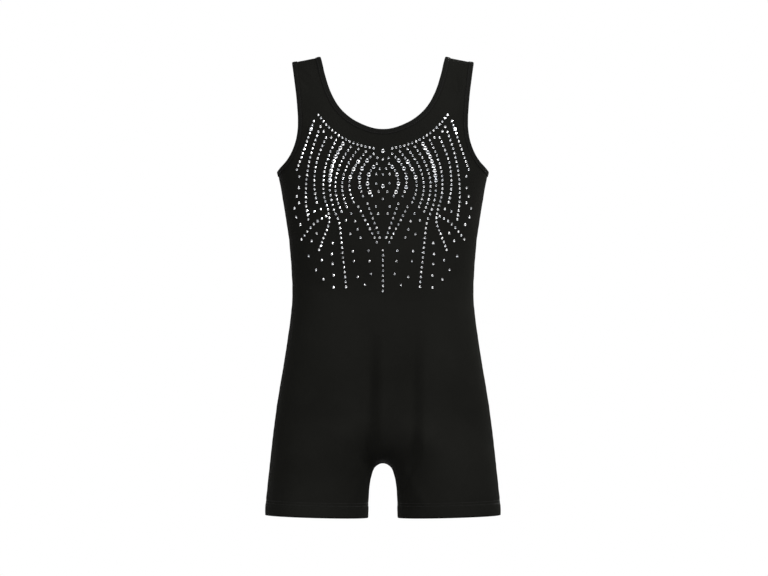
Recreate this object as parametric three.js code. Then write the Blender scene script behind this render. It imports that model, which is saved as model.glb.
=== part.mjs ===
// Gymnastics leotard with short legs: a sleeveless, scoop-neck, pull-on garment
// in stretch knit, with a mirrored fan of set crystals on the chest.
//
// Frame, in millimetres: +Z up, the front of the garment faces -Y, and the
// wearer's left is +X. The origin lies midway between the two undersides of the
// shoulder straps, where the wearer's shoulders carry the garment.
//
// The garment stands open, in the form that it takes when worn. Every cloth
// piece lies on one closed body surface  y = -/+ D(x, z)  and is thickened
// inwards from it, layer by layer, like the layers of the sewn garment.

import * as THREE from 'three';

// ---------------------------------------------------------------- dimensions
const FABRIC = 0.9;            // knit panel thickness
const LINING = 0.6;            // inner mesh thickness
const GAP = 0.35;              // clearance between touching layers
const SEAM_GAP = 0.15;         // half of the gap between panels that meet at a seam
const BINDING_W = 7.0;         // finished binding width at neck and armholes
const BINDING_CLEAR = 0.3;     // gap between a binding and the panel it edges
const HEM_H = 22.0;            // turned-up leg hem
const CHEST_Z = -142;      // level where the chest starts to close over the shoulders
const CROTCH_Z = -523.6;       // top of the arch between the legs
const LEG_R = 67;              // rounding radius beside the arch
const LEG_INNER = 19;          // inner half-width that centres each leg's tube
const SHOULDER_IN = [80.9, 5.1];   // inner end of the shoulder seam, x and z
const SHOULDER_OUT = [118.4, -2.3];// outer end of the shoulder seam
const UNDERARM = [137.3, -144.2];  // corner where armhole and side seam meet
const NECK_FRONT_Z = -90.45;   // lowest point of the front scoop
const NECK_BACK_Z = -139.5;    // lowest point of the back scoop
const HEM_IN = [19.1, -594.4]; // leg opening, inner and outer ends
const HEM_OUT = [153.2, -590.7];
const SECTION_P = 2.2;         // fullness of the trunk's cross-section
const ARM_BACK_CUT = 2.5;      // the back armhole is cut this much further in
const COLS = 9;                // grid columns from centre to side, per half
const ROWS_LEG = 4;            // grid rows along the legs
const ROWS_TRUNK = 13;         // from the arch to the neckline
const ROWS_YOKE = 9;           // from the neckline to the shoulder
const CRYSTAL_W = 2.4;         // width of one run of set crystals
const CRYSTAL_H = 1.15;        // height of a set crystal
const CRYSTAL_GAP = 0.6;       // the crystals sit clear of the cloth's facets
const LABEL_T = 0.4;           // woven label thickness

// outline tables: [z, half-width], as a flat front view
const SIDE = [[-144.2, 137.3], [-155.2, 134.9], [-170.8, 131.9], [-186.4, 129.4], [-202, 126.8],
  [-217.6, 124.4], [-233.2, 122.1], [-248.8, 120.8], [-264.4, 119.5], [-280, 118.6], [-295.6, 117.9],
  [-311.2, 118.1], [-326.8, 119.5], [-342.4, 121.2], [-358, 123.5], [-373.6, 125.7], [-389.2, 128.3],
  [-404.8, 130.7], [-420.4, 133.5], [-436, 136], [-451.6, 138.5], [-467.2, 140.5], [-482.8, 142.5],
  [-498.4, 144.3], [-514, 146], [-529.6, 147.7], [-545.2, 149.4], [-560.8, 151], [-576.4, 152.6],
  [-590.7, 153.2], [-640, 155]];
const SHOULDER_SWELL = [[60, 152], [0, 150], [-50, 146], [-100, 141.5], [-128, 138.6], [-144.2, 137.3]];
const ARM_FRONT = [[-2.3, 118.4], [-14.8, 116.6], [-30.4, 114.5], [-46, 112.5], [-61.6, 111.1],
  [-77.2, 110.2], [-85, 110.2], [-92.8, 110.8], [-100.6, 112], [-108.4, 114], [-116.2, 116.9],
  [-124, 120.8], [-131.8, 126.1], [-139.6, 133.4], [-144.2, 137.3]];
const NECK_FRONT = [[5.1, 80.9], [-4.4, 78.4], [-15, 76.1], [-23, 73.9], [-31, 71.6],
  [-38.9, 68.8], [-46.8, 65.3], [-54.7, 61.1], [-62.6, 55.6], [-70.5, 48], [-78.4, 37.5], [-86.25, 21.2],
  [-88.65, 13.9], [-89.85, 8], [-90.3, 4], [NECK_FRONT_Z, 0]];
const NECK_BACK = [[5.1, 80.9], [-4, 80.2], [-15, 79.2], [-30, 77.5], [-50, 74.3], [-70, 69.5],
  [-90, 62.5], [-105, 54.5], [-120, 43], [-130, 31], [-137, 16], [-138.4, 10.6], [-139.1, 6.4],
  [-139.4, 3.2], [NECK_BACK_Z, 0]];
const ARCH = [[CROTCH_Z, 0], [-523.7, 1.7], [-524, 3.2], [-524.6, 4.9], [-526, 7.2], [-527.8, 9.3], [-529.6, 10.9], [-537.4, 14.1], [-545.2, 16.1], [-553, 17.2],
  [-560.8, 17.9], [-568.6, 18.4], [-576.4, 18.6], [-594.4, 19.1], [-660, 20]];
// half-depths of the trunk: [z, front, back]
const DEPTH = [[80, 66, 60], [-142, 68, 62], [-207, 66, 60], [-255, 63.3, 56.3], [-298, 62, 55],
  [-335, 65, 58.5], [-370, 69, 65], [-405, 71.5, 73], [-440, 72, 79], [-475, 70.5, 80.5],
  [-523.6, 66.5, 75.5], [-560, 65, 70], [-594, 65, 68], [-660, 65, 68]];

// ------------------------------------------------------------- small helpers
// monotone cubic through [key, value] rows, keys in falling order
function curve(rows, col = 1) {
  const x = rows.map(r => -r[0]), y = rows.map(r => r[col]), n = x.length, h = [], s = [];
  for (let i = 0; i < n - 1; i++) { h.push(x[i + 1] - x[i]); s.push((y[i + 1] - y[i]) / h[i]); }
  const m = y.map((_, i) => {
    if (i === 0) return s[0];
    if (i === n - 1) return s[n - 2];
    if (s[i - 1] * s[i] <= 0) return 0;
    const w1 = 2 * h[i] + h[i - 1], w2 = h[i] + 2 * h[i - 1];
    return (w1 + w2) / (w1 / s[i - 1] + w2 / s[i]);
  });
  return k => {
    const q = Math.min(Math.max(-k, x[0]), x[n - 1]);
    let i = 0; while (i < n - 2 && q > x[i + 1]) i++;
    const t = (q - x[i]) / h[i], t2 = t * t, t3 = t2 * t;
    return y[i] * (2 * t3 - 3 * t2 + 1) + m[i] * h[i] * (t3 - 2 * t2 + t) + y[i + 1] * (3 * t2 - 2 * t3) + m[i + 1] * h[i] * (t3 - t2);
  };
}
const add = (a, b, s = 1) => [a[0] + b[0] * s, a[1] + b[1] * s, a[2] + b[2] * s];
const sub = (a, b) => [a[0] - b[0], a[1] - b[1], a[2] - b[2]];
const dot = (a, b) => a[0] * b[0] + a[1] * b[1] + a[2] * b[2];
const cross = (a, b) => [a[1] * b[2] - a[2] * b[1], a[2] * b[0] - a[0] * b[2], a[0] * b[1] - a[1] * b[0]];
const len = a => Math.hypot(...a);
const unit = a => { const l = len(a) || 1; return [a[0] / l, a[1] / l, a[2] / l]; };
const mix = (a, b, t) => a.map((v, i) => v + (b[i] - v) * t);
const smooth = t => { const c = Math.min(Math.max(t, 0), 1); return c * c * (3 - 2 * c); };

// ----------------------------------------------------------- the body surface
const sideW = curve(SIDE), swellW = curve(SHOULDER_SWELL), archW = curve(ARCH);
const depthF = curve(DEPTH, 1), depthB = curve(DEPTH, 2);
const zTop = x => SHOULDER_IN[1] + (x - SHOULDER_IN[0]) * (SHOULDER_OUT[1] - SHOULDER_IN[1]) / (SHOULDER_OUT[0] - SHOULDER_IN[0]);
const halfW = z => (z > UNDERARM[1] ? swellW(z) : sideW(z));
const archLine = [];
for (let i = 0; i <= 160; i++) {
  const z = CROTCH_Z - 116 * (i / 160) ** 2;
  archLine.push([i === 0 ? 0 : archW(z), z]);
}
function archDistance(x, z) {          // signed: negative between the legs
  if (z > CROTCH_Z + 140) return 999;
  let best = 1e9;
  for (let i = 0; i < archLine.length - 1; i++) {
    const [ax, az] = archLine[i], [bx, bz] = archLine[i + 1];
    const dx = bx - ax, dz = bz - az, t = Math.min(Math.max(((x - ax) * dx + (z - az) * dz) / (dx * dx + dz * dz), 0), 1);
    best = Math.min(best, Math.hypot(x - ax - dx * t, z - az - dz * t));
  }
  return z < CROTCH_Z && x < archW(z) ? -best : best;
}
function depthSquared(x, z, side) {
  const ax = Math.abs(x), d = (side < 0 ? depthF : depthB)(z);
  let g = d * d;
  if (z > CHEST_Z) g *= 1 - ((z - CHEST_Z) / (zTop(ax) - CHEST_Z)) ** (side < 0 ? 2 : 2.4);
  const W = halfW(z), xi = LEG_INNER * smooth((CROTCH_Z + 15 - z) / 60);
  const xm = smooth((CROTCH_Z + LEG_R - z) / LEG_R) * (W + xi) / 2;
  g *= 1 - (Math.max(0, ax - xm) / (W - xm)) ** SECTION_P;
  const q = 1 - Math.min(archDistance(ax, z) / LEG_R, 1);
  return g * (1 - q * q);
}
const onBody = (x, z, side) => [x, side * Math.sqrt(Math.max(0, depthSquared(x, z, side))), z];
function bodyNormal(x, z, side) {
  const h = 0.02, y = side * Math.sqrt(Math.max(0, depthSquared(x, z, side)));
  const gx = (depthSquared(x + h, z, side) - depthSquared(x - h, z, side)) / (2 * h);
  const gz = (depthSquared(x, z + h, side) - depthSquared(x, z - h, side)) / (2 * h);
  return unit([Math.abs(x) < 1e-9 ? 0 : -gx, 2 * y, -gz]);
}
// a point and its normal on the right half; the left half mirrors it
const spot = (x, z, side) => ({ x, z, p: onBody(x, z, side), n: bodyNormal(x, z, side) });

// -------------------------------------------------------------- sewing lines
// dense edge line on the right half, resampled by its true length in space
function resample(line, side, count) {
  const p = line.map(([x, z]) => onBody(x, z, side)), s = [0];
  for (let i = 1; i < p.length; i++) s.push(s[i - 1] + len(sub(p[i], p[i - 1])));
  const out = [];
  for (let k = 0; k <= count; k++) {
    const q = s[s.length - 1] * k / count;
    let i = 0; while (i < s.length - 2 && s[i + 1] < q) i++;
    out.push(mix(line[i], line[i + 1], (q - s[i]) / ((s[i + 1] - s[i]) || 1)));
  }
  out[0] = line[0]; out[count] = line[line.length - 1];
  return out;
}
function dense(table, z0, z1, fix0, fix1, cut = () => 0) {
  const f = curve(table), line = [], n = 240;
  for (let i = 0; i <= n; i++) {
    const t = (1 - Math.cos(Math.PI * i / n)) / 2, z = z0 + (z1 - z0) * t;
    line.push([f(z) - cut(t), z]);
  }
  line[0] = fix0; line[n] = fix1;
  return line;
}
// move a point of an edge into the cloth by a distance measured on the surface
function inset(line, k, side, dist, inwardX) {
  const [x, z] = line[k], a = line[Math.max(0, k - 1)], b = line[Math.min(line.length - 1, k + 1)];
  if (k === 0 || k === line.length - 1) return null;
  const t = unit(sub(onBody(b[0], b[1], side), onBody(a[0], a[1], side)));
  let m = unit(cross(bodyNormal(x, z, side), t));
  if (m[0] * inwardX[0] + m[2] * inwardX[1] < 0) m = m.map(v => -v);
  return [x + m[0] * dist, z + m[2] * dist];
}
function edge(side, which) {
  const neck = which === 'neck';
  const line = neck
    ? dense(side < 0 ? NECK_FRONT : NECK_BACK, side < 0 ? NECK_FRONT_Z : NECK_BACK_Z, SHOULDER_IN[1],
      [0, side < 0 ? NECK_FRONT_Z : NECK_BACK_Z], SHOULDER_IN)
    : dense(ARM_FRONT, UNDERARM[1], SHOULDER_OUT[1], UNDERARM, SHOULDER_OUT,
      t => (side > 0 ? ARM_BACK_CUT * Math.sin(Math.PI * t) : 0));
  const e = resample(line, side, ROWS_YOKE), slope = (SHOULDER_OUT[1] - SHOULDER_IN[1]) / (SHOULDER_OUT[0] - SHOULDER_IN[0]);
  const at = dist => e.map((q, k) => {
    const mid = inset(e, k, side, dist, neck ? [0.3, -1] : [-1, -0.6]);
    if (mid) return mid;
    const c = Math.cos(Math.atan(slope));
    if (k > 0) return neck ? [q[0] + dist * c, q[1] + dist * c * slope] : [q[0] - dist * c, q[1] - dist * c * slope];
    if (neck) return [0, q[1] - dist];
    return [sideW(q[1] - dist), q[1] - dist];
  });
  return { e, at };
}
const EDGES = {};
for (const side of [-1, 1]) for (const which of ['neck', 'arm']) EDGES[which + side] = edge(side, which);

// ------------------------------------------------------------------ the grid
// grid[side][j][i]: j runs from the hem to the shoulder, i from the centre (or
// the inseam, or the neck) to the side seam (or the armhole)
const JC = ROWS_LEG + 1, JN = JC + ROWS_TRUNK, JT = JN + ROWS_YOKE;
const hemZ = x => HEM_IN[1] + (x - HEM_IN[0]) * (HEM_OUT[1] - HEM_IN[1]) / (HEM_OUT[0] - HEM_IN[0]);
const LEG_TOP_OUT = -512;
function rowEnds(side) {
  const panelDist = BINDING_W + BINDING_CLEAR;
  const inner = [], outer = [];
  // legs: the first two rows are the raw edge and the top of the turned-up hem
  const hemRows = [1.3, HEM_H];
  for (const h of hemRows) {
    inner.push([archW(HEM_IN[1] + h), HEM_IN[1] + h]);
    outer.push([sideW(HEM_OUT[1] + h), HEM_OUT[1] + h]);
  }
  const archPart = []; const z0 = HEM_IN[1] + HEM_H;
  for (let i = 0; i <= 200; i++) { const z = CROTCH_Z + (z0 - CROTCH_Z) * ((200 - i) / 200) ** 2; archPart.push([i === 200 ? 0 : archW(z), z]); }
  const arch = resample(archPart, 0, ROWS_LEG);
  for (let k = 1; k <= ROWS_LEG; k++) {
    inner.push(arch[k]);
    const z = HEM_OUT[1] + HEM_H + (LEG_TOP_OUT - HEM_OUT[1] - HEM_H) * k / ROWS_LEG;
    outer.push([sideW(z), z]);
  }
  // trunk
  const neck = EDGES['neck' + side].at(panelDist), arm = EDGES['arm' + side].at(panelDist);
  const centre = [];
  for (let i = 0; i <= 300; i++) { const z = CROTCH_Z + (neck[0][1] - CROTCH_Z) * (i / 300) ** 2; centre.push([0, z]); }
  const mid = resample(centre, side, ROWS_TRUNK);
  for (let k = 1; k <= ROWS_TRUNK; k++) {
    inner.push(mid[k]);
    const z = LEG_TOP_OUT + (arm[0][1] - LEG_TOP_OUT) * k / ROWS_TRUNK;
    outer.push([sideW(z), z]);
  }
  // yoke
  for (let k = 1; k <= ROWS_YOKE; k++) { inner.push(neck[k]); outer.push(arm[k]); }
  return { inner, outer };
}
function makeGrid(side) {
  const { inner, outer } = rowEnds(side);
  return inner.map((a, j) => {
    const line = [];
    for (let i = 0; i <= 120; i++) line.push(mix(a, outer[j], (1 - Math.cos(Math.PI * i / 120)) / 2));
    return resample(line, side, COLS).map(([x, z], i) => {
      const s = spot(x, z, side), seam = (i === 0 && j <= JC) || (i === COLS && j <= JN) || j === JT;
      if (seam) { s.p[1] = 0; s.n = unit([s.n[0], 0, s.n[2]]); }
      return s;
    });
  });
}
const GRID = { '-1': makeGrid(-1), '1': makeGrid(1) };

// ---------------------------------------------------------- solids from cloth
function toGeometry(points, faces) {
  let vol = 0;
  for (const [a, b, c] of faces) vol += dot(points[a], cross(points[b], points[c]));
  const idx = vol < 0 ? faces.map(f => [f[0], f[2], f[1]]) : faces;
  const g = new THREE.BufferGeometry();
  g.setAttribute('position', new THREE.Float32BufferAttribute(points.flat(), 3));
  g.setIndex(idx.flat());
  g.computeVertexNormals();
  return g;
}
// one closed body from a patch of the grid, between two offsets (0 is the outer
// face of the panels, negative goes inwards)
function clothSolid({ sides = [-1], halves = [-1, 1], i0 = 0, i1 = COLS, j0 = 0, j1 = JT, joined = false, outer = 0, inner = -FABRIC }) {
  const verts = [], norms = [], keys = new Map(), tris = [];
  const vertex = (side, half, i, j) => {
    const s = GRID[side][j][i], p = s.p.slice(), n = s.n.slice();
    if (!joined && Math.abs(p[1]) < SEAM_GAP) { p[1] = side * SEAM_GAP; n[1] = 0; }
    const nn = unit(n), q = [p[0] * half, p[1], p[2]], key = q.map(v => v.toFixed(3)).join(',').replace(/-0\.000/g, '0.000');
    if (!keys.has(key)) { keys.set(key, verts.length); verts.push(q); norms.push([nn[0] * half, nn[1], nn[2]]); }
    return keys.get(key);
  };
  for (const side of sides) for (const half of halves) {
    const flip = (half < 0) !== (side > 0);
    for (let j = j0; j < j1; j++) for (let i = i0; i < i1; i++) {
      const a = vertex(side, half, i, j), b = vertex(side, half, i + 1, j), c = vertex(side, half, i + 1, j + 1), d = vertex(side, half, i, j + 1);
      for (const t of [[a, b, c], [a, c, d]]) {
        if (new Set(t).size < 3) continue;
        tris.push(flip ? [t[0], t[2], t[1]] : t);
      }
    }
  }
  const N = verts.length, points = [...verts.map((v, k) => add(v, norms[k], outer)), ...verts.map((v, k) => add(v, norms[k], inner))];
  const faces = [], edges = new Map();
  for (const [a, b, c] of tris) {
    faces.push([a, b, c], [a + N, c + N, b + N]);
    for (const [u, v] of [[a, b], [b, c], [c, a]]) edges.set(u + '_' + v, [u, v]);
  }
  for (const [u, v] of edges.values()) if (!edges.has(v + '_' + u)) faces.push([v, u, u + N], [v, u + N, v + N]);
  return toGeometry(points, faces);
}
// one closed body swept through cross-sections that all have the same points
function loft(sections, closed) {
  const S = sections[0].length, K = sections.length, points = sections.flat(), faces = [];
  for (let k = 0; k < (closed ? K : K - 1); k++) for (let s = 0; s < S; s++) {
    const a = k * S + s, b = k * S + (s + 1) % S, c = ((k + 1) % K) * S + (s + 1) % S, d = ((k + 1) % K) * S + s;
    faces.push([a, b, c], [a, c, d]);
  }
  if (!closed) for (let s = 1; s < S - 1; s++) {
    faces.push([0, s + 1, s]);
    faces.push([(K - 1) * S, (K - 1) * S + s, (K - 1) * S + s + 1]);
  }
  return toGeometry(points, faces);
}
const mirrorX = sections => sections.map(sec => sec.map(([x, y, z]) => [-x, y, z]));

// an edge frame: the finished edge, the binding's inner line and both normals
function edgeFrames(which, side) {
  const { e, at } = EDGES[which + side], f = at(BINDING_W);
  return e.map((q, k) => {
    const E = spot(q[0], q[1], side), F = spot(f[k][0], f[k][1], side);
    for (const s of [E, F]) if (k === ROWS_YOKE || (k === 0 && which === 'arm')) { s.p[1] = 0; s.n = unit([s.n[0], 0, s.n[2]]); }
    return { E, F };
  });
}
const bandPoint = (fr, a, b) => add(mix(fr.E.p, fr.F.p, a / BINDING_W), unit(mix(fr.E.n, fr.F.n, a / BINDING_W)), b);
const flipFrame = fr => ({ E: { p: [-fr.E.p[0], fr.E.p[1], fr.E.p[2]], n: [-fr.E.n[0], fr.E.n[1], fr.E.n[2]] }, F: { p: [-fr.F.p[0], fr.F.p[1], fr.F.p[2]], n: [-fr.F.n[0], fr.F.n[1], fr.F.n[2]] } });
const armF = edgeFrames('arm', -1), armB = edgeFrames('arm', 1), neckF = edgeFrames('neck', -1), neckB = edgeFrames('neck', 1);
const ARM_RING = [...armF, ...armB.slice(1, -1).reverse()];
const NECK_RING = [...neckF, ...neckB.slice(0, -1).reverse(), ...neckB.slice(1).map(flipFrame), ...neckF.slice(1, -1).reverse().map(flipFrame)];
const BINDING_SECTION = [[7, 0.6], [0, 0.6], [0, -2.4], [7, -2.4], [7, -1.7], [0.7, -1.7], [0.7, -0.1], [7, -0.1]];
const ELASTIC_SECTION = [[1.6, -0.6], [1.6, -1.2], [6.4, -1.2], [6.4, -0.6]];
const STITCH_SECTION = [[5.2, 0.9], [6.0, 0.9], [5.6, 1.35]];
const bandLoft = (frames, section, left) => {
  const sec = frames.map(fr => section.map(([a, b]) => bandPoint(fr, a, b)));
  return loft(left ? sec : mirrorX(sec), true);
};

// the ring of grid columns around one leg, from the hem line upwards
function legRing(left) {
  const out = [];
  const push = (side, i) => {
    const top = GRID[side][1][i], x = top.x, z = hemZ(x) + 0;
    const inn = i === 0 ? HEM_IN : i === COLS ? HEM_OUT : null;
    const low = inn ? spot(inn[0], inn[1], side) : spot(GRID[side][0][i].x, hemZ(GRID[side][0][i].x), side);
    const lo = { p: low.p.slice(), n: low.n.slice() }, hi = { p: top.p.slice(), n: top.n.slice() };
    if (inn) for (const s of [lo, hi]) { s.p[1] = 0; s.n = unit([s.n[0], 0, s.n[2]]); }
    out.push({ lo, hi });
  };
  for (let i = 0; i <= COLS; i++) push(-1, i);
  for (let i = COLS - 1; i > 0; i--) push(1, i);
  return (section) => {
    const sec = out.map(({ lo, hi }) => section.map(([a, b]) => add(mix(lo.p, hi.p, a / HEM_H), unit(mix(lo.n, hi.n, a / HEM_H)), b)));
    return loft(left ? sec : mirrorX(sec), true);
  };
}
const HEM_SECTION = [[0, 0], [0, -3.3], [21.5, -3.3], [21.5, -2.5], [0.9, -2.5], [0.9, 0]];
const LEG_ELASTIC_SECTION = [[2.2, -1.35], [2.2, -2.1], [20, -2.1], [20, -1.35]];
const HEM_STITCH_SECTION = [[19.2, 0.3], [20.0, 0.3], [19.6, 0.75]];

// a seam allowance: a thin fin that stands inwards along a seam in the plane y = 0
function fin(stations, left) {
  const sec = stations.map(({ p, n, from, to }) => {
    const a = add(p, n, from), b = add(p, n, to);
    return [[a[0], -0.8, a[2]], [b[0], -0.8, b[2]], [b[0], 0.8, b[2]], [a[0], 0.8, a[2]]];
  });
  return loft(left ? sec : mirrorX(sec), false);
}
const seamSpot = (x, z) => { const n = bodyNormal(x, z, -1); return { p: [x, 0, z], n: unit([n[0], 0, n[2]]) }; };
const LINING_JLOW = JN - 4;                // the chest lining's lower edge
const sideStations = [];
for (let j = 2; j <= JN - 1; j++) {
  const g = GRID[-1][j][COLS];
  const lined = j >= LINING_JLOW;
  sideStations.push({ ...seamSpot(g.x, g.z), from: lined ? -2.25 : -1.3, to: -6.2 });
  if (j === LINING_JLOW - 1) {             // step down just below the lining's edge
    const h = GRID[-1][j + 1][COLS];
    sideStations.push({ ...seamSpot(sideW(h.z - 3), h.z - 3), from: -2.25, to: -6.2 });
  }
}
sideStations[sideStations.length - 1] = { ...seamSpot(sideW(UNDERARM[1] - 10.5), UNDERARM[1] - 10.5), from: -2.25, to: -6.2 };
const inseamStations = [2, 3].map(j => ({ ...seamSpot(GRID[-1][j][0].x, GRID[-1][j][0].z), from: -1.3, to: -6.2 }));
inseamStations.unshift({ ...seamSpot(archW(HEM_IN[1] + HEM_H + 1), HEM_IN[1] + HEM_H + 1), from: -1.3, to: -6.2 });
const shoulderStations = [0.04, 0.5, 0.96].map(t => {
  const a = GRID[-1][JT][0], b = GRID[-1][JT][COLS], x = a.x + (b.x - a.x) * t;
  return { ...seamSpot(x, zTop(x)), from: -2.25, to: -5.2 };
});

// ------------------------------------------------------------ the crystal fan
// runs of set crystals on the wearer's left, as control points [x, z]; the
// right side mirrors them
const RUNS = {
  neck_row: [[84, -70], [73, -83.5], [60, -95], [45, -104], [29, -110], [12, -114]],
  strap_row: [[90, -78], [97, -99], [104.5, -120], [112, -141]],
  ring_outer: [[61, -103], [69, -120], [75, -138], [77.5, -156.5], [76.5, -175.5], [71.5, -193.5], [70, -210.5], [76.5, -228.5], [83, -246]],
  ring: [[52, -108], [62, -126.5], [68, -147], [69, -168.5], [65, -189.5], [57.5, -209], [54.5, -230.5], [52.5, -251.5], [50, -273], [48, -294]],
  middle_run: [[42, -112], [52, -127], [59, -143.5], [62, -161], [60, -179], [54, -196]],
  inner_run: [[32, -115], [42, -128], [49, -142.5], [53, -158.5], [52, -174.5], [47, -190]],
  inner_curl: [[22, -118], [31, -129.5], [38.5, -142], [43.5, -156], [43, -170.5], [38, -184]],
  short_curl: [[12, -121], [20.5, -130], [27, -140], [30.5, -152], [30, -164.5], [26, -176]],
  drop_curl: [[8, -134], [14.5, -141], [18.5, -149], [20, -158.5], [18.5, -167.5], [14, -176]],
  outer_short: [[74, -100], [81, -116], [86.5, -132.5], [89, -149.5], [89, -167], [86, -184]],
  outer_long: [[84, -92], [91.5, -114], [97, -136.5], [100, -159.5], [100.5, -183], [97, -206]],
  side_tail: [[74, -202], [86.5, -209.5], [97, -220], [106, -232]],
  v_outer: [[32, -190], [20, -213], [8, -236]],
  v_inner: [[20, -186], [12, -208], [4, -230]],
};
const MOTIF_SCALE = 0.9915, MOTIF_Z = -295.6;   // the fan is drawn full size and set out at this scale, about this level
const CENTRE_DROP = [[0, -246.5], [0, -260], [0, -275], [0, -290], [0, -299.5]];
function crystalRun(points, left) {
  const path = new THREE.CatmullRomCurve3(points.map(([x, z]) => new THREE.Vector3(x * MOTIF_SCALE, 0, MOTIF_Z + (z - MOTIF_Z) * MOTIF_SCALE)), false, 'centripetal');
  const steps = Math.max(2, Math.round(path.getLength() / 9));
  const pts = path.getSpacedPoints(steps).map(v => spot(v.x, v.z, -1));
  const sec = pts.map((s, k) => {
    const t = unit(sub(pts[Math.min(k + 1, steps)].p, pts[Math.max(k - 1, 0)].p)), w = unit(cross(s.n, t));
    const c = (u, b) => add(add(s.p, w, u * CRYSTAL_W / 2), s.n, b);
    return [c(-1, CRYSTAL_GAP), c(1, CRYSTAL_GAP), c(0.7, CRYSTAL_GAP + CRYSTAL_H), c(-0.7, CRYSTAL_GAP + CRYSTAL_H)];
  });
  return loft(left ? sec : mirrorX(sec), false);
}

// -------------------------------------------------------------------- labels
function labelPlate(w, h) {
  const r = 1, s = new THREE.Shape();
  s.moveTo(-w / 2 + r, 0); s.lineTo(w / 2 - r, 0); s.lineTo(w / 2, -r); s.lineTo(w / 2, -h + r);
  s.lineTo(w / 2 - r, -h); s.lineTo(-w / 2 + r, -h); s.lineTo(-w / 2, -h + r); s.lineTo(-w / 2, -r); s.closePath();
  return new THREE.ExtrudeGeometry(s, { depth: LABEL_T, bevelEnabled: false });
}

// ----------------------------------------------------------------- materials
const knit = () => new THREE.MeshStandardMaterial({ color: 0x17161a, roughness: 0.72, metalness: 0 });
const lining = () => new THREE.MeshStandardMaterial({ color: 0x1d1c20, roughness: 0.85, metalness: 0 });
const rubber = () => new THREE.MeshStandardMaterial({ color: 0xd8d6cf, roughness: 0.8, metalness: 0 });
const thread = () => new THREE.MeshStandardMaterial({ color: 0x202024, roughness: 0.6, metalness: 0 });
const satin = () => new THREE.MeshStandardMaterial({ color: 0xe9e8e4, roughness: 0.5, metalness: 0 });
const crystal = () => new THREE.MeshStandardMaterial({ color: 0xdfe3e8, roughness: 0.12, metalness: 0.9 });

// ------------------------------------------------------------------ assembly
const leotard = new THREE.Group();
function part(name, geometry, material, parent = leotard) {
  const m = new THREE.Mesh(geometry, material);
  m.name = name;
  parent.add(m);
  return m;
}
part('front_panel', clothSolid({ sides: [-1] }), knit());
part('back_panel', clothSolid({ sides: [1] }), knit());
const firstInner = -(FABRIC + GAP);
part('front_lining', clothSolid({ sides: [-1], j0: LINING_JLOW, outer: firstInner, inner: firstInner - LINING }), lining());
part('crotch_lining', clothSolid({ sides: [-1, 1], i1: 2, j0: JC - 1, j1: JC + 3, joined: true, outer: firstInner, inner: firstInner - LINING }), lining());

part('neck_binding', bandLoft(NECK_RING, BINDING_SECTION, true), knit());
part('neck_elastic', bandLoft(NECK_RING, ELASTIC_SECTION, true), rubber());
part('neck_topstitch', bandLoft(NECK_RING, STITCH_SECTION, true), thread());
for (const [word, left] of [['left', true], ['right', false]]) {
  part(word + '_armhole_binding', bandLoft(ARM_RING, BINDING_SECTION, left), knit());
  part(word + '_armhole_elastic', bandLoft(ARM_RING, ELASTIC_SECTION, left), rubber());
  part(word + '_armhole_topstitch', bandLoft(ARM_RING, STITCH_SECTION, left), thread());
  const ring = legRing(left);
  part(word + '_leg_hem', ring(HEM_SECTION), knit());
  part(word + '_leg_elastic', ring(LEG_ELASTIC_SECTION), rubber());
  part(word + '_hem_stitch', ring(HEM_STITCH_SECTION), thread());
  part(word + '_side_seam', fin(sideStations, left), thread());
  part(word + '_inseam', fin(inseamStations, left), thread());
  part(word + '_shoulder_seam', fin(shoulderStations, left), thread());
  for (const [run, pts] of Object.entries(RUNS)) part('crystals_' + run + '_' + word, crystalRun(pts, left), crystal());
}
part('crystals_centre_drop', crystalRun(CENTRE_DROP, true), crystal());

// blank woven labels, each sewn along one edge
const neckLabelZ = NECK_BACK_Z - BINDING_W - 2.2;
const neckLabel = new THREE.Group();
neckLabel.position.set(0, onBody(0, neckLabelZ - 6, 1)[1] - FABRIC - 1.1, neckLabelZ);
neckLabel.rotation.x = Math.PI / 2;
part('neck_label', labelPlate(30, 18).rotateZ(0), satin(), neckLabel);
leotard.add(neckLabel);
const careLabelZ = -352;
const careLabel = new THREE.Group();
careLabel.position.set(sideW(careLabelZ + 15) - 7.0, LABEL_T / 2, careLabelZ);
careLabel.rotation.set(Math.PI / 2, 0, 0);
part('care_label', labelPlate(30, 22).rotateZ(-Math.PI / 2), satin(), careLabel);
leotard.add(careLabel);

leotard.updateMatrixWorld(true);
export default leotard;
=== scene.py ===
# Gymnastics leotard with short legs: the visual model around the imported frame.
# Front faces -Y, wearer's left is +X, metres. The sewing lines are worked out in
# millimetres and turned into metres when a mesh is made.
import bpy
import math
import numpy as np
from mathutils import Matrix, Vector


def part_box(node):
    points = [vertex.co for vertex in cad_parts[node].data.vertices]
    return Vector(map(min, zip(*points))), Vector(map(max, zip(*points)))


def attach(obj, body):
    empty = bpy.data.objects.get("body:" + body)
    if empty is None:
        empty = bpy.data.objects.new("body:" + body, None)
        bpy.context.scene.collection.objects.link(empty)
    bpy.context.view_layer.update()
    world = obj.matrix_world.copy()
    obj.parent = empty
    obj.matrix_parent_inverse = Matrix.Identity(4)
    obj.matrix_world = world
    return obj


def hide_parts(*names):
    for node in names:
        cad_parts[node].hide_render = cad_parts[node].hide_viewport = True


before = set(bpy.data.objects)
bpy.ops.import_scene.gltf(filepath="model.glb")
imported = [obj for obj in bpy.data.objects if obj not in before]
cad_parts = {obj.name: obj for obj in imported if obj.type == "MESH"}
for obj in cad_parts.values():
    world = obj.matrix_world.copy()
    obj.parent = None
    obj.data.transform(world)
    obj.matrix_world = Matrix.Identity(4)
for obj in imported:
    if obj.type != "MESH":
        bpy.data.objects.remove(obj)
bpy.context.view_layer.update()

# ------------------------------------------------------------------- camera
WIDTH_AT_GARMENT = 0.9984          # metres across the view, at the garment
CAM_DIST = 8.0
cam_data = bpy.data.cameras.new("camera")
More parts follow.
